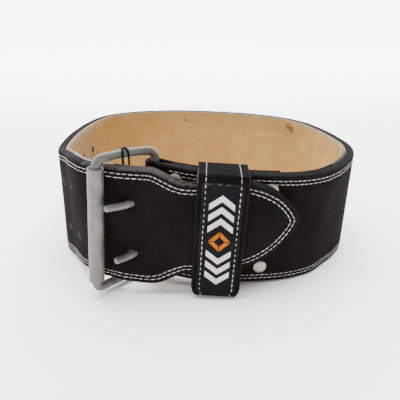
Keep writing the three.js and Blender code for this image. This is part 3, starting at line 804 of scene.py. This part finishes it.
def layer_columns(radius, inner_radius, has_rows, seam):
    """Half of a layer's cross-section from the middle of its skin, over the edge, to the middle of
    its back: depth below the skin as a length plus a share of the wall, distance from the edge, and
    for what lies in the middle its share of the way out."""
    columns = [Column(0, 0, None, share) for share in (0, 0.3, 0.6, 0.85)]
    rows = [ROW_FROM_EDGE + ROW_STEP, ROW_FROM_EDGE] if has_rows else []
    for row in rows:
        for step, depth in GROOVE:
            columns.append(Column(depth * GROOVE_DEPTH, 0, row + step * GROOVE_HALF, None))
    for angle in np.radians([0, 22, 45, 68, 90]):
        columns.append(Column(radius * (1 - math.cos(angle)), 0, radius * (1 - math.sin(angle)), None))
    if seam:
        for step, depth in ((-1, SEAM_LIP), (0, SEAM_DEPTH), (1, SEAM_LIP)):
            columns.append(Column(step * SEAM_HALF, SEAM_AT, depth, None))
    for angle in np.radians([90, 45, 0]):
        depth = -inner_radius * (1 - math.cos(angle))
        columns.append(Column(depth, 1, inner_radius * (1 - math.sin(angle)), None))
    columns += [Column(0, 1, None, share) for share in (0.5, 0)]
    return columns


def inner_limit(columns):
    return max(c.distance for c in columns if c.distance is not None) + MM


def outline_at(along):
    """Outline of the walk laid flat and the direction from it towards the middle."""
    low, high = along - OUTLINE_STEP, np.minimum(along + OUTLINE_STEP, WALK_LENGTH)
    slope = np.stack([high - low, half_width(high) - half_width(low)], axis=-1)
    direction = unit(slope)
    return half_width(along), np.stack([direction[:, 1], -direction[:, 0]], axis=-1)


def inset(along, distance):
    """Places on the flat walk at a distance inside its outline, which stop at the middle line."""
    half, inward = outline_at(along)
    reach = np.minimum(distance, half / np.maximum(-inward[:, 1], 1e-6))
    return along + inward[:, 0] * reach, half + inward[:, 1] * reach


def walk_stations(start):
    tip_start = WALK_LENGTH - TIP_LENGTH
    count = math.ceil((tip_start - start) / STATION_STEP)
    body = np.linspace(start, tip_start, count, endpoint=False)
    share = np.sin(np.linspace(0, math.pi / 2, TIP_STATIONS + 1))
    return np.concatenate([body, mix(tip_start, WALK_LENGTH - TIP_BLUNT, share)])


def whole_ring(upper):
    """The upper half of a ring, then the lower half as its mirror image."""
    return upper + [(*rest, -up) for *rest, up in upper[-2:0:-1]]


def layer_rings(along, columns, base, wall):
    """Rings of points of a layer: base is the depth of its skin, wall its thickness at each place."""
    upper = []
    deepest = inset(along, inner_limit(columns))
    for column in columns:
        depth = np.broadcast_to(base + column.depth + column.share * wall, along.shape)
        if column.distance is None:
            upper.append((depth, deepest[0], deepest[1] * column.middle))
        else:
            upper.append((depth, *inset(along, column.distance)))
    return np.stack([place(band_at(at), depth, up) for depth, at, up in whole_ring(upper)], axis=1)


def column_materials(columns, radius, spared):
    """Material number of the strip of faces after each column of the whole ring: paint on the
    rounded edge, apart from the strips spared at its start and end."""
    first = next(i for i, c in enumerate(columns) if c.distance is not None and c.distance <= radius)
    painted = range(first + spared, len(columns) - 3 - spared)
    half = [int(i in painted) for i in range(len(columns) - 1)]
    return half + half[::-1]


BAR = band_at(0.0)
WIRE_RADIUS = WIRE_DIAMETER / 2
FOLD_RADIUS = WIRE_RADIUS + GAP + FOLD_WALL
FLAP_SKIN = BAND_THICKNESS + GAP + FLAP_THICKNESS
BAR_POINT = place(BAR, FOLD_RADIUS, 0.0)
BAR_AXIS = BAR.rise


def near_bar(at_bar, beyond, along):
    return mix(at_bar, beyond, smooth(along / FOLD_TAPER))


def turned(vector, angle):
    return np.array(Matrix.Rotation(angle, 3, Vector(BAR_AXIS)) @ Vector(vector))


def straight_ring(columns, skin, wall):
    """Depth and height of a ring's points where the strap keeps its full width."""
    limit = inner_limit(columns)
    upper = []
    for column in columns:
        distance = limit if column.distance is None else column.distance
        up = (STRAP_WIDTH / 2 - distance) * (1 if column.middle is None else column.middle)
        upper.append((skin + (column.depth + column.share * np.abs(wall)) * np.sign(wall), up))
    return whole_ring(upper)


def fold_rings(columns):
    rings = []
    for angle in np.linspace(0, -math.pi, FOLD_STATIONS + 2)[1:-1]:
        normal = turned(BAR.normal, angle)
        band = Band(BAR_POINT + normal * FOLD_RADIUS, None, BAR_AXIS, normal)
        rings.append(np.stack([place(band, d, u) for d, u in straight_ring(columns, 0, FOLD_WALL)]))
    return np.stack(rings)


def flap_rings(columns):
    along = np.append(np.arange(0, FLAP_LENGTH, STATION_STEP), FLAP_LENGTH)
    skin = near_bar(2 * FOLD_RADIUS, FLAP_SKIN, along)
    wall = near_bar(FOLD_WALL, FLAP_THICKNESS, along)
    band = band_at(along)
    return np.stack([place(band, d, u) for d, u in straight_ring(columns, skin, -wall)], axis=1)


def hole_cutters(depth):
    """Cutters of the prong holes down to a depth, and of the room round the prongs."""
    cutters = []
    for column in range(HOLE_COLUMNS):
        band = band_at(LOOP_LENGTH - HOLE_TO_BAR - column * HOLE_PITCH)
        for up in (-HOLE_SPACING / 2, HOLE_SPACING / 2):
            ends = (place(band, d, up) for d in (-CUT_PAST, depth + CUT_PAST))
            cutters.append(cylinder_between(*ends, HOLE_DIAMETER / 2))
    return cutters + [prong_rod(row, PRONG_CLEARANCE) for row in PRONGS]


def strap(materials):
    columns = layer_columns(SKIN_RADIUS, BACK_RADIUS, True, True)
    along = walk_stations(0)[::-1]
    wall = near_bar(FOLD_WALL, STRAP_THICKNESS, along)
    rings = np.concatenate([layer_rings(along, columns, 0, wall), fold_rings(columns), flap_rings(columns)])
    numbers = column_materials(columns, SKIN_RADIUS, 1) * (len(rings) - 1) + [1, 1]
    piece = add_piece("strap_leather", ring_shape(rings), materials[:2], numbers, ["strap"])
    cutters = hole_cutters(STRAP_THICKNESS + GAP / 2) + fold_slots()
    cut_piece(outward(piece), cutters, materials[2])


def lining(materials):
    columns = layer_columns(LINING_RADIUS, LINING_RADIUS, False, False)
    along = walk_stations(FOLD_TAPER + LINING_SETBACK)
    skin = STRAP_THICKNESS + GAP / 3
    rings = layer_rings(along, columns, skin, BAND_THICKNESS - skin)
    dyed = 1 + ((along[1:] > LOOP_LENGTH - DYED_BEFORE_BAR) | (along[1:] < DYED_PAST_BAR))
    numbers = [*np.outer(dyed, column_materials(columns, LINING_RADIUS, 0)).ravel(), 1, 2]
    piece = add_piece("lining_leather", ring_shape(rings), materials[:3], numbers,
                      ["lining"])
    cut_piece(outward(piece), hole_cutters(BAND_THICKNESS), materials[3])


# Sewing


def stitch_template():
    """A stitch: a short bent capsule along x that dives into the leather at both ends, z out."""
    along = np.array([-1, -0.92, -0.6, 0, 0.6, 0.92, 1])
    size = np.array([0.25, 0.6, 0.95, 1.05, 0.95, 0.6, 0.25])
    height = -0.9 * np.abs(along) ** 4
    angle = circle(STITCH_SIDES)
    rings = [
        np.column_stack([np.full(STITCH_SIDES, a), s * np.cos(angle), h + s * np.sin(angle)])
        for a, s, h in zip(along, size, height)
    ]
    return ring_shape(np.stack(rings))


def sew(name, material, starts, ends, outs, radius=STITCH_RADIUS):
    """One mesh of stitches from start to end points, with the direction out of the leather."""
    vertices, faces = stitch_template()
    count = len(starts)
    middle = (starts + ends) / 2
    ahead = unit(ends - starts)
    half = np.linalg.norm(ends - starts, axis=1) / 2 * random.uniform(*STITCH_LENGTHS, count)
    side = unit(np.cross(outs, ahead))
    ahead = unit(ahead + side * spread(random.normal(0, STITCH_TURN, count)))
    side = unit(np.cross(outs, ahead))
    out = np.cross(ahead, side)
    middle = middle + side * spread(random.normal(0, STITCH_DRIFT, count))
    axes = np.stack([ahead * spread(half), side * radius, out * radius * STITCH_FLAT], axis=1)
    points = middle[:, None] + np.einsum("vk,nkj->nvj", vertices, axes)
    add_piece(name, joined((stitch, faces) for stitch in points), material)


def along_path(points, start_gap, pitch, length):
    """Ends of the stitches along a path of points."""
    starts = np.arange(start_gap, path_steps(points)[-1] - length, pitch)
    return path_at(points, starts), path_at(points, starts + length)


def edge_rows(first):
    """The two rows that follow the outline of the walk, laid flat: up one side, round the tip and back."""
    rows = []
    for distance in (first, first + ROW_STEP):
        along = np.concatenate([
            np.arange(ROW_START, WALK_LENGTH - TIP_LENGTH, MM),
            np.arange(WALK_LENGTH - TIP_LENGTH, WALK_LENGTH - TIP_BLUNT, TIP_STEP),
        ])
        flat_along, up = inset(along, distance)
        keep = up > STITCH_RADIUS
        upper = np.column_stack([flat_along[keep], up[keep]])
        rows.append(np.concatenate([upper, (upper * (1, -1))[::-1]]))
    return rows


def sew_edges(material):
    """Sewing on the suede and its underside on the lining."""
    starts, ends, middle = edge_stitches(ROW_FROM_EDGE)
    starts, ends = on_walk(STITCH_SINK, starts), on_walk(STITCH_SINK, ends)
    sew("strap_stitches", material[0], starts, ends, middle.normal)
    starts, ends, middle = edge_stitches(LINING_ROW)
    lined = starts[:, 0] > FOLD_TAPER + 2 * LINING_SETBACK
    starts, ends = (on_walk(BAND_THICKNESS + LINING_STITCH_SINK, flat)[lined] for flat in (starts, ends))
    sew("lining_stitches", material[1], starts, ends, -middle.normal[lined],
        STITCH_RADIUS * LINING_STITCH_SHARE)


def edge_stitches(first):
    """Ends of all the stitches of both rows on the flat walk, and the band at their middles."""
    starts, ends = [], []
    for number, row in enumerate(edge_rows(first)):
        head, tail = along_path(row, PATH_START + number * STITCH_PITCH / 2, STITCH_PITCH, STITCH_LENGTH)
        starts.append(head)
        ends.append(tail)
    starts, ends = np.concatenate(starts), np.concatenate(ends)
    return starts, ends, band_at((starts[:, 0] + ends[:, 0]) / 2)


def on_walk(depth, flat):
    return place(band_at(flat[:, 0]), depth, flat[:, 1])


def sew_flap(material):
    """Sewing along the edges of the flap and across its end, on the side towards the waist."""
    half = STRAP_WIDTH / 2 - ROW_FROM_EDGE
    end = FLAP_LENGTH - ROW_FROM_EDGE
    side = np.arange(FLAP_ROW_START, end, MM)
    across = np.linspace(half, -half, FLAP_END_STATIONS)
    back = np.arange(end, FLAP_ROW_START, -MM)
    flat = np.concatenate([
        np.column_stack([side, np.full(len(side), half)]),
        np.column_stack([np.full(len(across), end), across]),
        np.column_stack([back, np.full(len(back), -half)]),
    ])
    starts, ends = along_path(flat, PATH_START, STITCH_PITCH, STITCH_LENGTH)
    middle = band_at((starts[:, 0] + ends[:, 0]) / 2)

    def on(points):
        skin = near_bar(2 * FOLD_RADIUS, FLAP_SKIN, points[:, 0])
        return place(band_at(points[:, 0]), skin, points[:, 1])

    sew("flap_stitches", material, on(starts), on(ends), -middle.normal)


# Buckle


def along_bar(points):
    return (np.asarray(points) - BAR_POINT) @ BAR_AXIS


def node_points(name):
    return np.array([v.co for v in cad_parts[name].data.vertices], float)


ROLLER_SPAN = along_bar(node_points("roller"))
ROLLER_MIDDLE = (node_points("roller").min(0) + node_points("roller").max(0)) / 2
ROLLER_POINT = ROLLER_MIDDLE - BAR_AXIS * along_bar(ROLLER_MIDDLE)
FRAME_SPAN = along_bar(node_points("buckle_frame"))
FRAME_HALF = (FRAME_SPAN.max() - FRAME_SPAN.min()) / 2 - WIRE_RADIUS
FRAME_MIDDLE = (FRAME_SPAN.max() + FRAME_SPAN.min()) / 2


def leg_plan():
    """Fine points of the bent legs from the bar to the roller."""
    across = unit(np.cross(ROLLER_POINT - BAR_POINT, BAR_AXIS))
    middle = (BAR_POINT + ROLLER_POINT) / 2 + across * 2 * LEG_SAG
    t = spread(np.linspace(0, 1, LEG_STATIONS))
    return (1 - t) ** 2 * BAR_POINT + 2 * t * (1 - t) * middle + t**2 * ROLLER_POINT


LEG_POINTS = leg_plan()
LEG_LENGTH = path_steps(LEG_POINTS)[-1]


def leg_at(x, up):
    """Place on the bent surface of the frame: x from the bar to the roller, up along the bar."""
    return path_at(LEG_POINTS, x) + BAR_AXIS * spread(np.broadcast_to(up, x.shape))


def round_route(low, high, radius, corner, straight=2):
    """A rectangle with round corners, walked round: centre and direction at each spot of a corner,
    place and direction at the spots between."""
    (left, bottom), (right, top) = np.array(low) + radius, np.array(high) - radius
    centres = [(right, top), (left, top), (left, bottom), (right, bottom)]
    spots = []
    for turn, (x, y) in enumerate(centres):
        for share in np.linspace(0, 1, corner):
            spots.append((x, y, (turn + share) * math.pi / 2))
        next_x, next_y = centres[(turn + 1) % 4]
        for share in np.linspace(0, 1, straight)[1:-1]:
            spots.append((mix(x, next_x, share), mix(y, next_y, share), (turn + 1) * math.pi / 2))
    return np.array(spots)


def round_outline(low, high, radius, corner):
    x, y, angle = round_route(low, high, radius, corner).T
    return np.column_stack([x + radius * np.cos(angle), y + radius * np.sin(angle)])


def frame_outline():
    """The frame's wire on that surface, from the lower corner at the bar."""
    spots = round_outline((0, -FRAME_HALF), (LEG_LENGTH, FRAME_HALF), FRAME_CORNER, 10)
    spots = np.roll(spots, len(spots) // 2, axis=0)
    spots = np.concatenate([spots, spots[:1]])
    return path_at(spots, np.linspace(0, path_steps(spots)[-1], FRAME_STATIONS, endpoint=False))


def buckle_frame(material):
    flat = frame_outline()
    points = leg_at(flat[:, 0], FRAME_MIDDLE + flat[:, 1])
    ahead = leg_at(flat[:, 0] + MM / 2, 0.0) - leg_at(flat[:, 0] - MM / 2, 0.0)
    side = unit(np.cross(ahead, BAR_AXIS))
    wave = 1 + sum(size * np.sin(np.arange(len(points)) * step) for size, step in WIRE_WAVES)
    wire = rod_mesh(points, side, WIRE_RADIUS * wave, closed=True)
    outward(add_piece("buckle_wire", wire, material, node=["buckle_frame"]))


def roller(material):
    """A tube with rolled lips, slightly dented."""
    radius, lip = ROLLER_DIAMETER / 2, ROLLER_WALL / 2
    low, high = ROLLER_SPAN.min(), ROLLER_SPAN.max()
    profile = [(radius, up) for up in np.linspace(high - 2 * lip, low + 2 * lip, 40)]
    lips = (
        [(radius - lip + lip * math.cos(a), up + lip * math.sin(a)) for a in np.linspace(start, end, 8)]
        for up, start, end in ((high - lip, math.pi, 0), (low + lip, 0, -math.pi))
    )
    reach, height = np.array([*next(lips), *profile, *next(lips)]).T
    angle = circle(2 * WIRE_SIDES)
    dents = sum(
        row["depth"] * np.outer(np.sin(height * row["along"] + row["from"]),
                                np.sin(angle * row["round"] + row["turn"]))
        for row in ROLLER_DENTS
    )
    out = unit(np.cross(BAR_AXIS, [0, 1, 0]))
    ring = swing(out, np.cross(BAR_AXIS, out), spread(angle))
    tube = lathe(ROLLER_POINT, ring, BAR_AXIS, reach[:, None] + dents, height, True)
    outward(add_piece("roller_tube", tube, material, node=["roller"]))


def prong_path(prong):
    exit_band = band_at(LOOP_LENGTH - HOLE_TO_BAR + prong["shift"])
    hole = place(exit_band, 0.0, prong["side"] * HOLE_SPACING / 2)
    start = BAR_POINT + BAR_AXIS * along_bar(hole)
    along = exit_band.tangent - BAR_AXIS * (exit_band.tangent @ BAR_AXIS)
    out = unit(np.cross(along, BAR_AXIS))
    angle = math.radians(prong["angle"])
    reach = prong["reach"]
    end = hole - unit(along) * reach * math.cos(angle) + out * reach * math.sin(angle)
    return start, centripetal([start, hole, end], PRONG_STATIONS)


def centripetal(points, count):
    """Fine points of an open centripetal spline through the points."""
    points = [np.asarray(p, float) for p in points]
    points = [2 * points[0] - points[1], *points, 2 * points[-1] - points[-2]]
    w = spread(np.linspace(0, 1, count))
    curve = []
    for four in zip(points, points[1:], points[2:], points[3:]):
        c0, c1, c2, c3 = spline_cubics(*four)
        curve.append(c0 + w * (c1 + w * (c2 + w * c3)))
    return np.concatenate([curve[0], *(c[1:] for c in curve[1:])])


def prong_rod(prong, grow=0.0):
    radius = PRONG_DIAMETER / 2
    _, curve = prong_path(prong)
    blunt = radius * PRONG_BLUNT
    tip = path_steps(curve)[-1] - blunt
    body = np.linspace(WIRE_RADIUS + GAP + PRONG_EYE_WIRE / 2, tip, 40)
    angles = np.linspace(0, math.pi / 2 * PRONG_CLOSES, 9)[1:]
    at = np.concatenate([body, tip + blunt * np.sin(angles)])
    radii = radius * np.concatenate([np.ones(len(body)), np.cos(angles) ** PRONG_ROUND]) + grow
    return rod_mesh(path_at(curve, at), BAR_AXIS, radii)


def prong(row, material):
    start, _ = prong_path(row)
    eye = WIRE_RADIUS + GAP + PRONG_EYE_WIRE / 2
    across = np.cross(BAR_AXIS, BAR.normal)
    ring = start + swing(BAR.normal * eye, across * eye, spread(circle(EYE_STATIONS)))
    parts = [rod_mesh(ring, BAR_AXIS, PRONG_EYE_WIRE / 2, closed=True), prong_rod(row)]
    add_piece(row["name"] + "_rod", joined(parts), material, node=[row["name"]])


def fold_slots():
    """Room in the fold for the eyes of the prongs."""
    eye = WIRE_RADIUS + GAP + PRONG_EYE_WIRE + PRONG_CLEARANCE
    half = BAR_AXIS * (PRONG_DIAMETER / 2 + PRONG_CLEARANCE)
    starts = [prong_path(row)[0] for row in PRONGS]
    return [cylinder_between(start - half, start + half, eye, SLOT_SIDES) for start in starts]


def elastic_loops(material):
    """Thin elastic looped over the top leg of the frame, its ends hanging behind the tongue."""
    radius, wrap = ELASTIC_RADIUS, WIRE_RADIUS + ELASTIC_RADIUS
    top = FRAME_MIDDLE + FRAME_HALF
    angle = spread(np.linspace(-ELASTIC_PAST, math.pi + ELASTIC_PAST, 17))
    parts = []
    for turn in ELASTIC_TURNS:
        before, centre, after = leg_at(turn["at"] + np.array([-MM, 0, MM]), top)
        ahead = unit(after - before)
        side = unit(np.cross(ahead, BAR_AXIS))
        over = centre + swing(side * wrap - ahead * turn["twist"], BAR_AXIS * wrap, angle)
        low = centre - UP * ELASTIC_DROP
        near = low - side * ELASTIC_NEAR + ahead * (turn["twist"] - turn["front"])
        far = low + side * ELASTIC_FAR - ahead * (turn["twist"] + turn["back"])
        parts.append(rod_mesh(centripetal([near, *over[::-1], far], 6), ahead, radius, ELASTIC_SIDES))
    add_piece("elastic_thread", joined(parts), material)


# Rivets


def rivet(row, material):
    head, inside = RIVET_HEAD / 2, -FLAP_SKIN - GAP
    cap, shank, rim, centre = RIVET_CAP / 2, RIVET_SHANK / 2, RIVET_RIM, RIVET_CENTRE
    low = inside - RIVET_CAP_HEIGHT
    profile = [(centre, low), (cap - 6 * centre, low + centre), (cap, low + 6 * centre)]
    profile += [(cap, inside), (shank, inside), (shank, GAP), (head - rim, centre), (head, rim)]
    for angle in np.linspace(0.12, math.pi / 2, 12):
        radius = max(head * math.cos(angle) ** RIVET_ROUND, centre)
        profile.append((radius, rim + (RIVET_DOME - rim + GAP) * math.sin(angle)))
    reach, height = np.array(profile).T
    band = band_at(row["along"])
    base = place(band, 0.0, row["up"] * STRAP_WIDTH)
    ring = swing(band.tangent, band.rise, spread(circle(RIVET_SIDES)))
    shape = lathe(base, ring, band.normal, reach[:, None], height)
    outward(add_piece(row["name"] + "_head", shape, material, node=[row["name"]]))


# Keeper and patch


def tilted(band, degrees):
    """The band turned in its own plane, with the upper end towards the buckle."""
    turn = Matrix.Rotation(math.radians(degrees), 3, Vector(band.normal))
    tangent, rise = (np.array(turn @ Vector(v)) for v in (band.tangent, band.rise))
    return band._replace(tangent=tangent, rise=rise)


KEEPER = tilted(band_at(KEEPER_TO_BAR), KEEPER_TILT)


def keeper_room():
    """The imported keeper's inside: front, back, top and bottom in its own directions."""
    local = node_points("keeper_loop") - KEEPER.point
    out, up = local @ KEEPER.normal, local @ KEEPER.rise
    return [edge for way in (out, up) for edge in (way.max() - KEEPER_WALL, way.min() + KEEPER_WALL)]


FRONT, BACK, TOP, BOTTOM = keeper_room()


def keeper_route(corner=12, straight=26):
    """Inner route of the keeper, as (out, up, direction)."""
    return round_route((BACK, BOTTOM), (FRONT, TOP), KEEPER_CORNER, corner, straight)


def on_keeper(across, out, up):
    return (
        KEEPER.point
        + KEEPER.tangent * spread(np.broadcast_to(across, out.shape))
        + KEEPER.normal * spread(out)
        + KEEPER.rise * spread(up)
    )


def keeper_point(spots, across, depth):
    """Place on the keeper: across its width, depth from its inner face, with a soft bulge."""
    out, up, angle = spots.T
    front = np.clip(np.cos(angle), 0, 1) ** 4
    wave = np.sin((up - BOTTOM) / (TOP - BOTTOM) * math.pi * BULGE_WAVES)
    bulge = BULGE * front * wave * (across / KEEPER_WIDTH)
    reach = KEEPER_CORNER + depth + bulge
    lowest = np.clip((BOTTOM + KEEPER_PULL - up - reach * np.sin(angle)) / KEEPER_PULL, 0, 1)
    across = across * (1 - KEEPER_NARROWS * lowest**2)
    return on_keeper(across, out + reach * np.cos(angle), up + reach * np.sin(angle))


def keeper(materials):
    spots = keeper_route()
    half, radius = KEEPER_WIDTH / 2, KEEPER_RADIUS
    corner = [
        (radius * (1 - math.cos(a)), KEEPER_WALL - radius * (1 - math.sin(a)))
        for a in np.radians([0, 30, 60, 90])
    ]
    rows = [
        [(row + step * GROOVE_HALF, KEEPER_WALL - depth * GROOVE_DEPTH, 0) for step, depth in GROOVE[::-1]]
        for row in (-KEEPER_ROW, KEEPER_ROW)
    ]
    section = [(x - half, depth, 1) for x, depth in corner]
    section += rows[0] + [(0.0, KEEPER_WALL, 0)] + rows[1]
    section += [(half - x, depth, 1) for x, depth in corner[::-1]]
    cut = radius * KEEPER_CHAMFER
    inner = [(half, radius, 1), (half - cut, cut, 1), (half - radius, 0.0, 1)]
    section += inner + [(-x, depth, mark) for x, depth, mark in inner[::-1]]
    rings = np.stack([keeper_point(spots, across, depth) for across, depth, _ in section], axis=1)
    strip = [1 if a[2] and b[2] else 0 for a, b in zip(section, section[1:] + section[:1])]
    outward(add_piece("keeper_band", ring_shape(rings, True), materials, strip * len(spots),
                      ["keeper_loop"]))


def on_label(points, height):
    """Points of the patch, x across and y up from its middle, at a height over its base."""
    x, y = np.asarray(points, float).T
    out = FRONT + KEEPER_WALL + GAP / 3 + np.broadcast_to(height, len(x))
    return on_keeper(x, out, (TOP + BOTTOM) / 2 + y)


def label(materials):
    corner = np.array([LABEL_WIDTH, TOP - BOTTOM - 2 * KEEPER_CORNER]) / 2
    rings = []
    for step in LABEL_STEPS:
        high = corner - step["inset"]
        outline = round_outline(-high, high, LABEL_CORNER - step["inset"], 8)
        rings.append(on_label(outline, step["share"] * LABEL_THICKNESS))
    numbers = [step["edge"] for step in LABEL_STEPS[:-1] for _ in rings[0]] + [0, 0]
    outward(add_piece("label_patch", ring_shape(np.stack(rings)), materials, numbers,
                      ["keeper_label"]))


def raised(outlines, low, high):
    """Thin plates with the given outlines on the patch."""
    plates = ([on_label(outline, low), on_label(outline, high)] for outline in outlines)
    return joined(ring_shape(np.stack(plate)) for plate in plates)


def chevron(y):
    """A chevron that points up, with its top at y."""
    half, low, stroke = CHEVRON_HALF, y - CHEVRON_DROP, CHEVRON_STROKE
    return [(0, y), (half, low), (half, low - stroke), (0, y - stroke), (-half, low - stroke), (-half, low)]


def quarter(turn):
    """A quarter of the diamond with a hole, moved a little out from its middle."""
    angles = (turn * math.pi / 2, (turn + 1) * math.pi / 2)
    outer = [(math.cos(a) * DIAMOND_SIZE, math.sin(a) * DIAMOND_SIZE) for a in angles]
    points = outer + [(x * DIAMOND_HOLE, y * DIAMOND_HOLE) for x, y in outer[::-1]]
    return np.array(points) + np.mean(points, axis=0) * DIAMOND_SPLIT


def label_print(white, orange):
    """A plain design of chevrons and a diamond."""
    high = LABEL_THICKNESS * LABEL_FACE + STITCH_SINK
    upper = [chevron(y) for y in CHEVRON_TOPS]
    lower = [[(x, -y) for x, y in outline] for outline in upper]
    designs = (
        ("label_print_white", white, upper + lower),
        ("label_print_orange", orange, [quarter(turn) for turn in range(4)]),
    )
    for name, material, outlines in designs:
        outward(add_piece(name, raised(outlines, PRINT_BASE, high), material, is_smooth=False))


def sew_keeper(material):
    """Two rows round the keeper, which also hold the patch on its front."""
    spots = keeper_route(14, 60)
    angle = spots[:, 2]
    for name, row in (("keeper_stitches_left", -KEEPER_ROW), ("keeper_stitches_right", KEEPER_ROW)):
        over_label = (angle + ON_FRONT) % (2 * math.pi) < 2 * ON_FRONT
        depth = np.where(over_label, KEEPER_WALL + GAP / 3 + LABEL_THICKNESS * LABEL_FACE, KEEPER_WALL)
        path = keeper_point(spots, row, depth - STITCH_SINK)
        path = np.concatenate([path, path[:1]])
        starts, ends = along_path(path, PATH_START, STITCH_PITCH * KEEPER_PITCH_SHARE, STITCH_LENGTH)
        middle = (starts + ends) / 2
        local = middle - KEEPER.point
        out, up = local @ KEEPER.normal, local @ KEEPER.rise
        core_out = np.clip(out, BACK + KEEPER_CORNER, FRONT - KEEPER_CORNER)
        core_up = np.clip(up, BOTTOM + KEEPER_CORNER, TOP - KEEPER_CORNER)
        outs = unit(KEEPER.normal * spread(out - core_out) + KEEPER.rise * spread(up - core_up))
        sew(name, material, starts, ends, outs)


# Surroundings


def stage_floor():
    """A pale floor that curves up into the backdrop, with painted light: brighter and glowing towards the
    back.
    """
    near, far, bend, top, width = -3.0, 2.2, 1.2, 4.0, 5.0
    profile = [(near, 0.0), (far, 0.0)]
    for angle in np.linspace(0.1, math.pi / 2, 14):
        profile.append((far + bend * math.sin(angle), bend * (1 - math.cos(angle))))
    profile.append((far + bend, top))
    vertices = [(x, y, z) for y, z in profile for x in (-width, width)]
    faces = [(2 * i, 2 * i + 1, 2 * i + 3, 2 * i + 2) for i in range(len(profile) - 1)]
    n = Nodes("floor_card")
    away = n.node("SeparateXYZ", {0: n.place}).outputs["Y"]
    uneven = n.times(n.noise(2.5, 3), 0.15)
    depth = n.math("ADD", n.range(away, *FLOOR_FADES), uneven)
    # painted light: the floor's colour brightens from near the belt towards the back, where it also glows
    tone = n.ramp(depth, 0.0, 1.0, FLOOR_NEAR, FLOOR_FAR)
    glow = n.range(away, *FLOOR_GLOWS, 0.0, FLOOR_GLOW)
    card = n.set(Base_Color=tone, Roughness=0.85, Specular_IOR_Level=0.2, Emission_Strength=glow,
                 Emission_Color=WORLD_COLOUR)
    floor = new_object("floor", vertices, faces, [card])
    floor.data.polygons.foreach_set("use_smooth", [True] * len(faces))
    return floor


# Painted light on the floor: its colours near and far, and how far back it fades and glows
FLOOR_NEAR = (0.86, 0.845, 0.83)
FLOOR_FAR = (0.93, 0.935, 0.94)
WORLD_COLOUR = (0.96, 0.98, 1.0)
WORLD_STRENGTH = 0.95
FLOOR_LIGHT = {"name": "floor_fill", "place": (0.0, 0.25, 1.7), "size": 1.8, "watts": 128}
FLOOR_GLOW = 4.5
FLOOR_FADES = (-0.5, 1.3)
FLOOR_GLOWS = (0.1, 1.6)
LIGHTS = [
    {"name": "overhead", "place": (-0.35, 0.35, 1.5), "size": 1.6, "watts": 22},
    {"name": "left", "place": (-1.3, -0.7, 0.8), "size": 0.9, "watts": 11},
]
LIGHTS_AIM = (0, 0, 0.05)
CAMERA_PLACE = (-0.00453, -0.42536, 0.22432)
CAMERA_DOWN = 24.18
CAMERA_ROLL = 0.38
FOCAL_PIXELS = 435
PHOTO_PIXELS = 400
SENSOR = 36


def area_light(row):
    data = bpy.data.lights.new(row["name"], "AREA")
    data.energy, data.size = row["watts"], row["size"]
    light = in_scene(bpy.data.objects.new(row["name"], data))
    light.location = row["place"]
    return light


def lights(floor):
    """An even sky, two soft lights on the belt, and one from straight above for the floor alone."""
    world = bpy.data.worlds.new("studio")
    world.use_nodes = True
    background = world.node_tree.nodes["Background"]
    background.inputs["Color"].default_value = (*WORLD_COLOUR, 1)
    background.inputs["Strength"].default_value = WORLD_STRENGTH
    bpy.context.scene.world = world
    for light in map(area_light, LIGHTS):
        aim = Vector(LIGHTS_AIM) - light.location
        light.rotation_euler = aim.to_track_quat("-Z", "Y").to_euler()
    only_floor = bpy.data.collections.new("only_floor")
    only_floor.objects.link(floor)
    area_light(FLOOR_LIGHT).light_linking.receiver_collection = only_floor


def camera():
    data = bpy.data.cameras.new("camera")
    data.sensor_width = SENSOR
    data.lens = FOCAL_PIXELS / PHOTO_PIXELS * SENSOR
    view = in_scene(bpy.data.objects.new("camera", data))
    tilt = Matrix.Rotation(math.radians(90 - CAMERA_DOWN), 4, "X")
    roll = Matrix.Rotation(math.radians(CAMERA_ROLL), 4, "Z")
    view.matrix_world = Matrix.Translation(CAMERA_PLACE) @ tilt @ roll
    bpy.context.scene.camera = view


def main():
    suede = suede_material("black_suede", (0.0045, 0.0043, 0.0042), (0.0088, 0.0083, 0.008))
    # A darker copy of the suede for the keeper: painted shade that keeps its lit top dark
    shaded_keeper_suede = suede_material("shaded_keeper_suede", (0.0035, 0.0033, 0.0032), (0.0075, 0.0072, 0.007))
    edge, core, steel = edge_material(), core_material(), steel_material()
    sewing = thread_material("sewing_thread", (0.26, 0.25, 0.225), (0.6, 0.58, 0.54))
    tan_sewing = thread_material("tan_thread", (0.42, 0.26, 0.115), (0.54, 0.37, 0.19))
    strap([suede, edge, core])
    lining([lining_material(), cut_edge_material(), edge, core])
    sew_edges([sewing, tan_sewing])
    sew_flap(sewing)
    buckle_frame(steel)
    roller(steel)
    for row in PRONGS:
        prong(row, steel)
    rivets = rivet_material()
    for row in RIVETS:
        rivet(row, rivets)
    keeper([shaded_keeper_suede, edge])
    label([patch_material(), edge])
    label_print(print_material("white_print", (0.48, 0.47, 0.44), (0.68, 0.67, 0.63)),
                print_material("orange_print", (0.32, 0.075, 0.0), (0.44, 0.11, 0.0)))
    sew_keeper(sewing)
    elastic_loops(elastic_material())
    lights(stage_floor())
    camera()


main()
